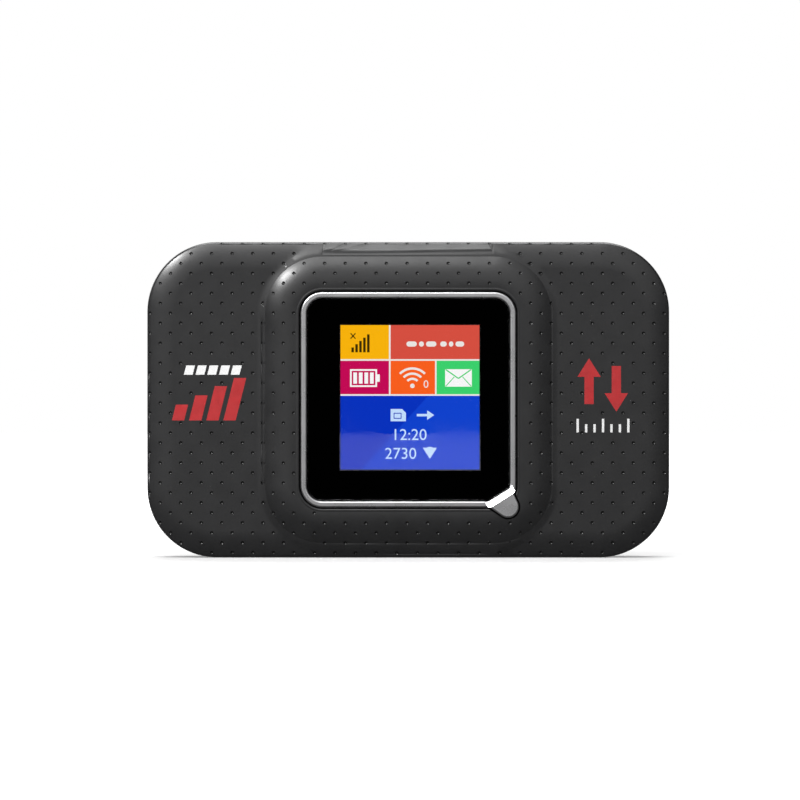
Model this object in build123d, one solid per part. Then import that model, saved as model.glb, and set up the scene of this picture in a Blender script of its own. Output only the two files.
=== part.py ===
"""Pocket wireless hotspot with a colour display, modelled in millimetres.

X runs to the right of the front face, Y runs from the front to the back, and Z runs up.
The origin is at the centre of the footprint of the device standing on its long lower edge.
The casing is a front housing, a middle frame and a rear cover that pulls off backwards.
"""

import os
from math import atan2, cos, hypot, radians, sin, tan

from build123d import *

# Casing
BODY_W = 96.0
BODY_H = 58.0
CORNER_R = 12.8
MID_Z = BODY_H / 2
FACE_Y = -5.65
BACK_Y = 7.5
FRONT_SEAM_Y = -2.4
REAR_SEAM_Y = 2.8
SEAM_GAP = 0.1
FRONT_WALL = 1.4
FRAME_WALL = 2.3
COVER_WALL = 1.3
BACK_ROLL_R = 2.5
CAVITY_Y = -4.25
LIP_GAP = 0.12
FRONT_LIP = 1.0
REAR_LIP = 1.8
SEAM_CHAMFER = 0.15

# Crowned edge of the front face, and the small round between it and the side
CROWN_W = 5.0
CROWN_TILT = radians(24.0)
EDGE_R = 0.7

# Dome around the display: a shallow dish beside the surround, a shoulder and a straight ramp
DOME_DISH_TILT = radians(14.0)
DOME_RAMP_TILT = radians(28.8)
DOME_SHOULDER = 6.5
DOME_CREST = 1.7
DOME_INNER = -2.4

# Display surround and window
RING_SIZE = 39.5
RING_BAR = 1.15
RING_ROUND = 0.32
RING_R = 4.0
RING_FRONT_Y = -7.5
CLEAR_Y = -9.0
SHELF_Y = -6.0
SHELF_BACK_Y = -4.9
RECESS_GAP = 0.3
OPENING_SIZE = 35.2
OPENING_R = 2.0
POCKET_SIZE = 42.0
POCKET_R = 4.0
RING_WINDOW = RING_SIZE - 2 * RING_BAR
RING_WINDOW_R = RING_R - RING_BAR
TAIL_X = 18.26
TAIL_Z = 9.35
TAIL_R = 2.0
TAIL_ROOT_X = 14.9
TAIL_NECK_Z = 12.2
TAIL_CUT_X = 14.5
TAIL_CUT_Z = 12.95
FACET_FOOT_Y = -6.75
FACET_SLOPE = radians(30.0)
FACET_REACH = 4.0
LENS_GAP = 0.15
LENS_FRONT_Y = -7.3
LENS_BACK_Y = -6.2
FILM = 0.05
ADHESIVE_BAND = 0.6

# Colour display module
ACTIVE_W = 25.5
ACTIVE_H = 26.5
ACTIVE_X = 0.31
ACTIVE_Z = MID_Z + 0.45
LCD_W = 29.7
LCD_H = 33.0
LCD_TOP = ACTIVE_Z + ACTIVE_H / 2 + 1.9
LCD_Z = LCD_TOP - LCD_H / 2
LCD_FRONT_Y = -5.75
LCD_BACK_Y = -3.15
LCD_RIM = 0.8
LCD_SHEET = 0.25
GLASS_Y = (-5.7, -4.5)
BACKLIGHT_Y = (-4.45, -3.45)
FLEX = 0.12
FLEX_W = 14.0
LCD_PLUG_X = 17.0
LCD_PLUG_Z = (4.9, 8.0)
LCD_PLUG_Y = -3.9

# Circuit board
BOARD_FRONT_Y = -2.9
BOARD_BACK_Y = -1.9
BOARD_INSET = FRAME_WALL + 0.35
SCREW_X = 40.2
SCREW_Z = 20.0
BOSS_R = 2.2
BOSS_HOLE_R = 0.8
SCREW_R = 0.7
SCREW_HEAD_R = 1.5
SCREW_HEAD = 1.0
BOARD_SCREW_X = 17.0
BOARD_SCREW_Z = 21.8
BOARD_BOSS_R = 1.7

# Floor of the middle frame and the battery bay
FLOOR_FRONT_Y = -0.1
FLOOR_BACK_Y = 0.9
BAY_WALL = 0.9
BAY_GAP = 0.25
BAY_BACK_Y = 5.0
BATTERY_X = (-37.0, 19.0)
BATTERY_Z = (7.5, 50.5)
BATTERY_Y = (1.2, 5.6)
BATTERY_CAP = 2.2
BATTERY_EDGE_R = 1.4
LABEL = 0.07
PAD_Z = (-4.8, -1.6, 1.6, 4.8)
PAD_SIZE = (2.0, 2.2)
PAD_DEPTH = 0.3
CONTACT_BLOCK_X = (19.35, 21.9)
CONTACT_BLOCK_Z = 14.0
CONTACT_BLOCK_Y = 4.4

# Card sockets
SIM_X = (23.8, 40.2)
SIM_Z = (28.6, 43.8)
SIM_TOP_Y = -0.4
SIM_POCKET_Z = 12.6
SIM_POCKET_Y = (-1.5, -0.9)
SIM_FRAME_GAP = 0.3
SD_X = (-8.0, 6.0)
SD_Z = (21.6, 36.4)
SHEET_METAL = 0.2

# Micro USB receptacle on the right side
USB_X = (42.6, 47.8)
USB_W = 7.6
USB_H = 2.6
USB_WALL = 0.3
USB_GAP = 0.2
USB_Y = BOARD_BACK_Y + USB_H / 2

# Keys along the top edge and the reset key behind the cover
KEY_Y = 0.2
KEY_TOP_Z = BODY_H - 0.05
KEY_BOTTOM_Z = 54.9
KEY_FLANGE = 0.6
KEY_GAP = 0.15
POWER_X = 26.0
POWER_W = 9.6
POWER_T = 2.3
PAIR_X = 10.0
PAIR_R = 1.6
SWITCH_W = 4.6
SWITCH_Z = (51.6, 54.1)
SWITCH_TOP_Y = 0.6
PLUNGER_W = 1.5
PLUNGER_Y = (-0.6, 0.3)
PLUNGER_Z = (53.2, KEY_BOTTOM_Z)
PLUNGER_GAP = 0.05
PLUNGER_POCKET_Z = 52.7
RESET_X = 43.1
RESET_Z = 40.0
RESET_W = 3.2
RESET_TOP_Y = -0.5
RESET_R = 0.6
RESET_TIP_Y = -0.2
RESET_FOOT_Y = -1.1
RESET_HOLE_R = 1.0

# Rear cover
TAB_W = 6.0
TAB_SIDE_Z = 12.0
TAB_TOP_X = 26.0
TAB_INSET = 2.15
TAB_BACK_Y = 4.4
TAB_GAP = 0.25
PRY_W = 12.0
PRY_DEPTH = 0.7
PRY_H = 1.1
FOAM_X = (-30.0, 12.0)
FOAM_Z = (17.0, 41.0)
FOAM_FRONT_Y = 5.9


def plate(sketch, y_front, y_back):
    """Solid of an outline drawn in X and Z, between two depths."""
    return extrude(Plane.XZ.offset(-y_back) * sketch, amount=y_back - y_front)


def block(x, y, z):
    """Box between two corners given as (low, high) pairs."""
    size = [high - low for low, high in (x, y, z)]
    middle = [(high + low) / 2 for low, high in (x, y, z)]
    return Pos(*middle) * Box(*size)


def outline(inset):
    """Outline of the body, moved inwards."""
    shape = RectangleRounded(BODY_W - 2 * inset, BODY_H - 2 * inset, CORNER_R - inset)
    return Pos(0, MID_Z) * shape


def square(size, radius):
    """Rounded square centred on the body."""
    return Pos(0, MID_Z) * RectangleRounded(size, size, radius)


def disc(x, z, radius):
    return Pos(x, z) * Circle(radius)


def screw_places():
    """X and Z of the four screws that join the frame to the front housing."""
    return [(sx * SCREW_X, MID_Z + sz * SCREW_Z) for sx in (-1, 1) for sz in (-1, 1)]


def board_screw_places():
    return [(BOARD_SCREW_X, MID_Z + sz * BOARD_SCREW_Z) for sz in (-1, 1)]


def carried(section, half_w, half_h, radius):
    """Solids of a section carried round a rounded rectangle centred on the body.

    The section is a function that draws its face at a given X, with a given Z as the rectangle's side.
    """
    parts = []
    for turn in range(4):
        across, up = (half_w, half_h) if turn % 2 == 0 else (half_h, half_w)
        face = section(across - radius, up)
        side = extrude(face, amount=2 * (across - radius), dir=(-1, 0, 0))
        corner_axis = Axis((across - radius, 0, up - radius), (0, 1, 0))
        corner = revolve(face, axis=corner_axis, revolution_arc=90)
        parts += [Pos(0, 0, MID_Z) * Rot(0, 90 * turn, 0) * part for part in (side, corner)]
    return parts


def edge_round(corner_z, corner_y, tilt):
    """Small round between a surface with a tilt and the side of the body, from the surface to the side."""
    reach = EDGE_R * tan((radians(90) - tilt) / 2)
    centre_z, centre_y = corner_z - EDGE_R, corner_y + reach
    turns = (tilt, (tilt + radians(90)) / 2, radians(90))
    return [(centre_y - EDGE_R * cos(turn), centre_z + EDGE_R * sin(turn)) for turn in turns]


def crown_section(x, side_z):
    """Edge of the front face: an arc that tips forward to the small round at the side."""
    radius = CROWN_W / sin(CROWN_TILT)
    start_z = side_z - CROWN_W
    corner_y = FACE_Y + radius * (1 - cos(CROWN_TILT))
    start_round, mid_round, end_round = edge_round(side_z, corner_y, CROWN_TILT)
    mid_turn = CROWN_TILT / 2
    mid_crown = (FACE_Y + radius * (1 - cos(mid_turn)), start_z + radius * sin(mid_turn))

    def at(y, z):
        return Vector(x, y, z)

    edges = [
        Edge.make_three_point_arc(at(FACE_Y, start_z), at(*mid_crown), at(*start_round)),
        Edge.make_three_point_arc(at(*start_round), at(*mid_round), at(*end_round)),
        Edge.make_line(at(*end_round), at(FRONT_SEAM_Y, side_z)),
        Edge.make_line(at(FRONT_SEAM_Y, side_z), at(FRONT_SEAM_Y, start_z)),
        Edge.make_line(at(FRONT_SEAM_Y, start_z), at(FACE_Y, start_z)),
    ]
    return Face(Wire(edges))


def dome_section(x, side_z):
    """Section of the dome: the dish beside the surround, the shoulder and the ramp to the body's edge."""
    radius = DOME_SHOULDER / (sin(DOME_RAMP_TILT) + sin(DOME_DISH_TILT))
    crest_y = FACE_Y - DOME_CREST
    edge_y = crest_y + radius * (1 - cos(DOME_DISH_TILT))
    shoulder_y = crest_y + radius * (1 - cos(DOME_RAMP_TILT))
    end_z = side_z + (BODY_H - RING_SIZE) / 2
    corner_y = shoulder_y + ((BODY_H - RING_SIZE) / 2 - DOME_SHOULDER) * tan(DOME_RAMP_TILT)
    start_round, mid_round, end_round = edge_round(end_z, corner_y, DOME_RAMP_TILT)

    def at(y, z):
        return Vector(x, y, z)

    inner_z = side_z + DOME_INNER
    crest_z = side_z + radius * sin(DOME_DISH_TILT)
    shoulder_z = side_z + DOME_SHOULDER
    edges = [
        Edge.make_line(at(edge_y, inner_z), at(edge_y, side_z)),
        Edge.make_three_point_arc(at(edge_y, side_z), at(crest_y, crest_z), at(shoulder_y, shoulder_z)),
        Edge.make_line(at(shoulder_y, shoulder_z), at(*start_round)),
        Edge.make_three_point_arc(at(*start_round), at(*mid_round), at(*end_round)),
        Edge.make_line(at(*end_round), at(FRONT_SEAM_Y, end_z)),
        Edge.make_line(at(FRONT_SEAM_Y, end_z), at(FRONT_SEAM_Y, inner_z)),
        Edge.make_line(at(FRONT_SEAM_Y, inner_z), at(edge_y, inner_z)),
    ]
    return Face(Wire(edges))


def ring_outline():
    """Outside of the display surround, with the tail that runs out of its lower right corner."""
    right = RING_SIZE / 2
    low = MID_Z - RING_SIZE / 2
    reach = hypot(TAIL_X - TAIL_ROOT_X, TAIL_Z - low)
    bearing = atan2(TAIL_Z - low, TAIL_X - TAIL_ROOT_X)
    turn = atan2(TAIL_R, (reach**2 - TAIL_R**2) ** 0.5)
    tangent = (reach**2 - TAIL_R**2) ** 0.5
    lower = (
        TAIL_ROOT_X + tangent * cos(bearing - turn),
        low + tangent * sin(bearing - turn),
    )
    upper = (TAIL_X + TAIL_R * cos(radians(25)), TAIL_Z + TAIL_R * sin(radians(25)))
    neck = make_face(
        Polyline(
            (TAIL_ROOT_X, low),
            lower,
            (TAIL_X, TAIL_Z),
            upper,
            (right - 0.6, TAIL_NECK_Z),
            (TAIL_ROOT_X, TAIL_NECK_Z),
            close=True,
        )
    )
    return square(RING_SIZE, RING_R) + neck + disc(TAIL_X, TAIL_Z, TAIL_R)


def ring_window(gap=0.0):
    """Inside of the display surround, or the lens that fills it, with its lower right corner cut."""
    size = RING_WINDOW - 2 * gap
    low = MID_Z - RING_WINDOW / 2
    right = RING_WINDOW / 2
    across = Vector(right - TAIL_CUT_X, TAIL_CUT_Z - low).normalized()
    inward = Vector(-across.Y, across.X) * gap
    cut = Polygon(
        (TAIL_CUT_X - 5 * across.X + inward.X, low - 5 * across.Y + inward.Y),
        (right + 5 * across.X + inward.X, TAIL_CUT_Z + 5 * across.Y + inward.Y),
        (right + 5 * across.X, low - 5 * across.Y),
        align=None,
    )
    return square(size, RING_WINDOW_R - gap) - cut


def front_housing():
    """Front shell: crowned edge, dome, recess for the surround, opening and screw bosses."""
    ring_half = RING_SIZE / 2
    shell = plate(outline(CROWN_W), FACE_Y, FRONT_SEAM_Y)
    shell += carried(crown_section, BODY_W / 2, BODY_H / 2, CORNER_R)
    shell += carried(dome_section, ring_half, ring_half, RING_R)
    shell -= plate(outline(FRONT_WALL), CAVITY_Y, FRONT_SEAM_Y)
    shell -= plate(square(POCKET_SIZE, POCKET_R), SHELF_BACK_Y, FRONT_SEAM_Y)
    shell -= plate(offset(ring_outline(), RECESS_GAP), CLEAR_Y, SHELF_Y)
    shell -= plate(square(OPENING_SIZE, OPENING_R), CLEAR_Y, FRONT_SEAM_Y)
    for x, z in screw_places():
        shell += plate(disc(x, z, BOSS_R), CAVITY_Y - 0.4, FLOOR_FRONT_Y)
        shell -= plate(disc(x, z, BOSS_HOLE_R), CAVITY_Y + 0.6, FLOOR_FRONT_Y)
    for x, z in board_screw_places():
        shell += plate(disc(x, z, BOARD_BOSS_R), SHELF_BACK_Y, BOARD_FRONT_Y)
        shell -= plate(disc(x, z, BOSS_HOLE_R), SHELF_BACK_Y + 0.3, BOARD_FRONT_Y)
    return shell


def bezel_ring():
    """Plated surround with its tail; a sloping facet leads from the lens up to the tail."""
    ring = plate(ring_outline() - ring_window(), RING_FRONT_Y, SHELF_Y)
    ring = fillet(ring.faces().sort_by(Axis.Y)[0].edges(), RING_ROUND)
    low = MID_Z - RING_WINDOW / 2
    right = RING_WINDOW / 2
    along = Vector(right - TAIL_CUT_X, 0, TAIL_CUT_Z - low).normalized()
    away = Vector(along.Z, 0, -along.X)
    middle = Vector((TAIL_CUT_X + right) / 2, FACET_FOOT_Y, (low + TAIL_CUT_Z) / 2)
    normal = Vector(0, -1, 0) * cos(FACET_SLOPE) - away * sin(FACET_SLOPE)
    facet = Plane(origin=middle, x_dir=along, z_dir=normal)
    length = hypot(right - TAIL_CUT_X, TAIL_CUT_Z - low)
    cutter = Box(length + 1.0, FACET_REACH, 3, align=(Align.CENTER, Align.CENTER, Align.MIN))
    return ring - facet * cutter


def display_lens():
    lens = plate(ring_window(LENS_GAP), LENS_FRONT_Y, LENS_BACK_Y)
    return chamfer(lens.faces().sort_by(Axis.Y)[0].edges(), SEAM_CHAMFER)


def active_window(margin):
    shape = Rectangle(ACTIVE_W + 2 * margin, ACTIVE_H + 2 * margin)
    return Pos(ACTIVE_X, ACTIVE_Z) * shape


def lens_border_film():
    """Black printed border behind the lens, with a clear window over the picture."""
    return plate(ring_window(LENS_GAP + 0.1) - active_window(0.2), LENS_BACK_Y, LENS_BACK_Y + FILM)


def lens_adhesive():
    band = ring_window(LENS_GAP + 0.15) - square(OPENING_SIZE + 0.2, OPENING_R)
    return plate(band, LENS_BACK_Y + FILM, SHELF_Y)


def lcd_outline(inset=0.0):
    return Pos(ACTIVE_X, LCD_Z) * Rectangle(LCD_W - 2 * inset, LCD_H - 2 * inset)


def lcd_gasket():
    return plate(lcd_outline(0.2) - active_window(0.8), LENS_BACK_Y + FILM, LCD_FRONT_Y)


def lcd_frame():
    tray = plate(lcd_outline(), LCD_FRONT_Y, LCD_BACK_Y)
    return tray - plate(lcd_outline(LCD_RIM), LCD_FRONT_Y, LCD_BACK_Y - LCD_SHEET)


def lcd_glass():
    return plate(lcd_outline(LCD_RIM + 0.05), *GLASS_Y)


def lcd_backlight():
    return plate(lcd_outline(LCD_RIM + 0.05), *BACKLIGHT_Y)


def lcd_flex():
    """Ribbon from the lower edge of the display down to its socket on the board."""
    low = LCD_TOP - LCD_H
    drop_y = LCD_BACK_Y - 0.9
    socket_y = (LCD_PLUG_Y + BOARD_FRONT_Y) / 2
    points = [
        (drop_y, low),
        (drop_y, low - 1.2),
        (socket_y, LCD_PLUG_Z[1] + 1.2),
        (socket_y, LCD_PLUG_Z[1]),
    ]
    near = [(y - FLEX / 2, z) for y, z in points]
    far = [(y + FLEX / 2, z) for y, z in reversed(points)]
    section = make_face(Polyline(*near, *far, close=True))
    return extrude(Plane.YZ.offset(-FLEX_W / 2) * section, amount=FLEX_W)


def lcd_connector():
    half = LCD_PLUG_X / 2
    body = block((-half, half), (LCD_PLUG_Y, BOARD_FRONT_Y), LCD_PLUG_Z)
    latch_z = LCD_PLUG_Z[0] + 1.0
    latch = block((-half + 1, half - 1), (LCD_PLUG_Y, LCD_PLUG_Y + 0.2), (LCD_PLUG_Z[0], latch_z))
    return body - latch


def main_board():
    board = plate(outline(BOARD_INSET), BOARD_FRONT_Y, BOARD_BACK_Y)
    for x, z in screw_places():
        board -= plate(disc(x, z, BOSS_R + 0.3), BOARD_FRONT_Y, BOARD_BACK_Y)
    for x, z in board_screw_places():
        board -= plate(disc(x, z, SCREW_R + 0.2), BOARD_FRONT_Y, BOARD_BACK_Y)
    return board


def screw(x, z, seat_y, tip_y, head_r, head_h):
    """Pan-head screw with a cross slot, its head towards the back."""
    head = plate(disc(x, z, head_r), seat_y, seat_y + head_h)
    head = fillet(head.faces().sort_by(Axis.Y)[-1].edges(), head_h * 0.35)
    for slot in (Rectangle(head_r * 1.3, head_r * 0.3), Rectangle(head_r * 0.3, head_r * 1.3)):
        head -= plate(Pos(x, z) * slot, seat_y + head_h * 0.45, seat_y + head_h)
    return head + plate(disc(x, z, SCREW_R), tip_y, seat_y)


def housing_screws():
    tip = CAVITY_Y + 0.8
    return [screw(x, z, FLOOR_BACK_Y, tip, SCREW_HEAD_R, SCREW_HEAD) for x, z in screw_places()]


def board_screws():
    tip = SHELF_BACK_Y + 0.6
    return [screw(x, z, BOARD_BACK_Y, tip, SCREW_HEAD_R * 0.85, 0.8) for x, z in board_screw_places()]


def shield_can(x, z, height):
    """Folded metal lid over a group of chips, open towards the board."""
    top = BOARD_BACK_Y + height
    can = block(x, (BOARD_BACK_Y, top), z)
    can = fillet(can.edges().filter_by(Axis.Y), 0.8)
    inner_x = (x[0] + SHEET_METAL, x[1] - SHEET_METAL)
    inner_z = (z[0] + SHEET_METAL, z[1] - SHEET_METAL)
    return can - block(inner_x, (BOARD_BACK_Y, top - SHEET_METAL), inner_z)


def chip(x, z, size_x, size_z, height):
    half_x, half_z = size_x / 2, size_z / 2
    y = (BOARD_BACK_Y, BOARD_BACK_Y + height)
    return block((x - half_x, x + half_x), y, (z - half_z, z + half_z))


def sim_socket_shell():
    """Metal hood that holds the card down; the card slides in from below."""
    hood = block(SIM_X, (BOARD_BACK_Y, SIM_TOP_Y), SIM_Z)
    inner_x = (SIM_X[0] + SHEET_METAL, SIM_X[1] - SHEET_METAL)
    hood -= block(inner_x, (BOARD_BACK_Y, SIM_TOP_Y - SHEET_METAL), (SIM_Z[0], SIM_Z[1] - SHEET_METAL))
    middle = (SIM_X[0] + SIM_X[1]) / 2
    for side in (-1, 1):
        x = middle + side * 4.2
        hood -= block((x - 1.0, x + 1.0), (SIM_TOP_Y - 1, SIM_TOP_Y), (SIM_Z[0] + 4, SIM_Z[0] + 11))
    hood -= plate(disc(middle, SIM_Z[0], 2.6), SIM_TOP_Y - 1, SIM_TOP_Y)
    return hood


def sim_socket_base():
    x = (SIM_X[0] + SHEET_METAL, SIM_X[1] - SHEET_METAL)
    return block(x, (BOARD_BACK_Y, BOARD_BACK_Y + 0.35), (SIM_Z[0] + 0.6, SIM_Z[1] - SHEET_METAL))


def sim_contacts():
    """Six spring contacts in two rows on the base of the card socket."""
    middle = (SIM_X[0] + SIM_X[1]) / 2
    y = (BOARD_BACK_Y + 0.35, BOARD_BACK_Y + 0.6)
    places = [(middle + 2.54 * i, SIM_Z[0] + z) for i in (-1, 0, 1) for z in (4.0, 11.0)]
    return [block((x - 0.5, x + 0.5), y, (z - 1.2, z + 1.2)) for x, z in places]


def microsd_socket_shell():
    shell = block(SD_X, (BOARD_BACK_Y, SIM_TOP_Y), SD_Z)
    inner_x = (SD_X[0] + SHEET_METAL, SD_X[1] - SHEET_METAL)
    shell -= block(inner_x, (BOARD_BACK_Y, SIM_TOP_Y - SHEET_METAL), (SD_Z[0], SD_Z[1] - SHEET_METAL))
    middle = (SD_X[0] + SD_X[1]) / 2
    shell -= block((middle - 3, middle + 3), (SIM_TOP_Y - 1, SIM_TOP_Y), (SD_Z[0] + 3, SD_Z[0] + 4.2))
    return shell


def microsd_contacts():
    x = (SD_X[0] + SHEET_METAL, SD_X[1] - SHEET_METAL)
    base = block(x, (BOARD_BACK_Y, BOARD_BACK_Y + 0.35), (SD_Z[0] + 2, SD_Z[1] - SHEET_METAL))
    middle = (SD_X[0] + SD_X[1]) / 2
    y = (BOARD_BACK_Y + 0.35, BOARD_BACK_Y + 0.6)
    z = (SD_Z[1] - 5.0, SD_Z[1] - 2.4)
    fingers = [
        block((middle + 1.1 * i - 0.3, middle + 1.1 * i + 0.3), y, z)
        for i in (-3.5, -2.5, -1.5, -0.5, 0.5, 1.5, 2.5, 3.5)
    ]
    return [base + fingers]


def usb_section(inset):
    """Mouth of the receptacle, drawn in Y and Z: square above, narrowed below."""
    half = USB_W / 2 - inset
    near = USB_H / 2 - inset
    return Pos(USB_Y, MID_Z) * make_face(
        Polyline(
            (-near, -half + 0.9),
            (-near + 0.9, -half),
            (near, -half),
            (near, half),
            (-near + 0.9, half),
            (-near, half - 0.9),
            close=True,
        )
    )


def usb_prism(inset, x):
    return extrude(Plane.YZ.offset(x[0]) * usb_section(inset), amount=x[1] - x[0])


def usb_shell():
    cavity_back = USB_X[0] + 0.5
    return usb_prism(0, USB_X) - usb_prism(USB_WALL, (cavity_back, USB_X[1]))


def usb_tongue():
    back = USB_X[0] + 0.5
    return block((back, USB_X[1] - 0.9), (USB_Y + 0.05, USB_Y + 0.65), (MID_Z - 1.8, MID_Z + 1.8))


def usb_contacts():
    """Five contact strips under the tongue."""
    x = (USB_X[0] + 1.0, USB_X[1] - 1.3)
    y = (USB_Y - 0.1, USB_Y + 0.05)
    return [
        block(x, y, (MID_Z + 0.65 * i - 0.17, MID_Z + 0.65 * i + 0.17)) for i in (-2, -1, 0, 1, 2)
    ]


def battery_contact_block():
    half = CONTACT_BLOCK_Z / 2
    body = block(CONTACT_BLOCK_X, (BOARD_BACK_Y, CONTACT_BLOCK_Y), (MID_Z - half, MID_Z + half))
    front = (CONTACT_BLOCK_X[0], CONTACT_BLOCK_X[0] + 1.1)
    for z in PAD_Z:
        body -= block(front, (1.9, CONTACT_BLOCK_Y), (MID_Z + z - 0.8, MID_Z + z + 0.8))
    return body


def battery_springs():
    """Four bent leaf springs that press on the pads of the battery."""
    base_x = CONTACT_BLOCK_X[0] + 1.1
    tip_x = BATTERY_X[1] + 0.1
    springs = []
    for z in PAD_Z:
        leaf = block((base_x - 0.2, base_x), (1.9, 4.2), (MID_Z + z - 0.6, MID_Z + z + 0.6))
        arm = block((tip_x + 0.2, base_x - 0.2), (3.9, 4.1), (MID_Z + z - 0.6, MID_Z + z + 0.6))
        tip = block((tip_x, tip_x + 0.2), (2.6, 4.1), (MID_Z + z - 0.6, MID_Z + z + 0.6))
        springs.append(leaf + arm + tip)
    return springs


def key_switch(x):
    """Side-pushed key switch on the top edge of the board, with a pocket for its plunger."""
    half = SWITCH_W / 2
    body = block((x - half, x + half), (BOARD_BACK_Y, SWITCH_TOP_Y), SWITCH_Z)
    side = PLUNGER_W / 2 + PLUNGER_GAP
    pocket_y = (PLUNGER_Y[0] - PLUNGER_GAP, PLUNGER_Y[1] + PLUNGER_GAP)
    return body - block((x - side, x + side), pocket_y, (PLUNGER_POCKET_Z, SWITCH_Z[1]))


def key_plunger(x):
    return block((x - PLUNGER_W / 2, x + PLUNGER_W / 2), PLUNGER_Y, PLUNGER_Z)


def key_profile(kind, grow=0.0):
    """Cap outline drawn in X and Y, for the long power key or the round pairing key."""
    if kind == "power":
        half = POWER_T / 2 + grow
        return Pos(POWER_X, KEY_Y) * RectangleRounded(POWER_W + 2 * grow, 2 * half, half * 0.98)
    return Pos(PAIR_X, KEY_Y) * Circle(PAIR_R + grow)


def key_cap(kind):
    low = KEY_BOTTOM_Z
    cap = extrude(Plane.XY.offset(low) * key_profile(kind), amount=KEY_TOP_Z - low)
    cap = fillet(cap.faces().sort_by(Axis.Z)[-1].edges(), 0.25)
    return cap + extrude(Plane.XY.offset(low) * key_profile(kind, 0.4), amount=KEY_FLANGE)


def key_hole(kind):
    inside = BODY_H - FRAME_WALL - 1
    return extrude(Plane.XY.offset(inside) * key_profile(kind, KEY_GAP), amount=FRAME_WALL + 2)


def reset_switch():
    half = RESET_W / 2
    x = (RESET_X - half, RESET_X + half)
    body = block(x, (BOARD_BACK_Y, RESET_TOP_Y), (RESET_Z - half, RESET_Z + half))
    well = plate(disc(RESET_X, RESET_Z, RESET_R + PLUNGER_GAP), RESET_FOOT_Y - 0.4, RESET_TOP_Y)
    return body - well


def reset_plunger():
    return plate(disc(RESET_X, RESET_Z, RESET_R), RESET_FOOT_Y, RESET_TIP_Y)


def bay_walls():
    """Walls that hold the battery, with a gap for the contact block."""
    low_x, high_x = BATTERY_X[0] - BAY_GAP, BATTERY_X[1] + BAY_GAP
    low_z, high_z = BATTERY_Z[0] - BAY_GAP, BATTERY_Z[1] + BAY_GAP
    y = (FLOOR_BACK_Y, BAY_BACK_Y)
    outer_x = (low_x - BAY_WALL, high_x + BAY_WALL)
    walls = block(outer_x, y, (low_z - BAY_WALL, high_z + BAY_WALL))
    walls -= block((low_x, high_x), y, (low_z, high_z))
    gap = CONTACT_BLOCK_Z / 2 + SIM_FRAME_GAP
    walls -= block((high_x, high_x + BAY_WALL), y, (MID_Z - gap, MID_Z + gap))
    notch = 8.0
    notch_x = (-9.0 - notch, -9.0 + notch)
    walls -= block(notch_x, (3.2, BAY_BACK_Y), (low_z - BAY_WALL, low_z))
    return walls


def floor_windows():
    """Openings in the floor of the frame for the sockets, the keys and the contacts."""
    gap = SIM_FRAME_GAP
    half = CONTACT_BLOCK_Z / 2 + gap
    through = (FLOOR_FRONT_Y, FLOOR_BACK_Y)
    sim_x = (SIM_X[0] - gap, SIM_X[1] + gap)
    inner_top = BODY_H - FRAME_WALL
    return [
        block(sim_x, through, (SIM_POCKET_Z, SIM_Z[1] + gap)),
        block((SD_X[0] - gap, SD_X[1] + gap), through, (SD_Z[0] - gap - 3, SD_Z[1] + gap)),
        block((CONTACT_BLOCK_X[0] - gap, CONTACT_BLOCK_X[1] + gap), through, (MID_Z - half, MID_Z + half)),
        block((POWER_X - 6.0, POWER_X + 6.0), through, (SWITCH_Z[0] - gap, inner_top)),
        block((PAIR_X - 3.2, PAIR_X + 3.2), through, (SWITCH_Z[0] - gap, inner_top)),
        block((USB_X[0] - gap, BODY_W / 2 - FRAME_WALL), through, (MID_Z - 4.1, MID_Z + 4.1)),
        plate(disc(RESET_X, RESET_Z, RESET_HOLE_R), *through),
    ]


def tab_places():
    """X, Z and length along X and Z of the tabs that line up the rear cover."""
    top = [(x, MID_Z + side * (MID_Z - 1.8)) for x in (-TAB_TOP_X, TAB_TOP_X) for side in (-1, 1)]
    sides = [(side * (BODY_W / 2 - 1.8), MID_Z + z) for side in (-1, 1) for z in (-TAB_SIDE_Z, TAB_SIDE_Z)]
    return [(x, z, TAB_W, 2.4) for x, z in top] + [(x, z, 2.4, TAB_W) for x, z in sides]


def tab_blocks(grow, y):
    """The tabs themselves, or with grow the notches that they sit in."""
    blocks = []
    for x, z, wide, tall in tab_places():
        half_x, half_z = wide / 2 + grow, tall / 2 + grow
        blocks.append(block((x - half_x, x + half_x), y, (z - half_z, z + half_z)))
    return blocks


def chamfer_seam(shape, side):
    """Breaks the outer edge of a shell where it meets the next one."""
    face = shape.faces().sort_by(Axis.Y)[side]
    return chamfer(face.outer_wire().edges(), SEAM_CHAMFER)


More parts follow.
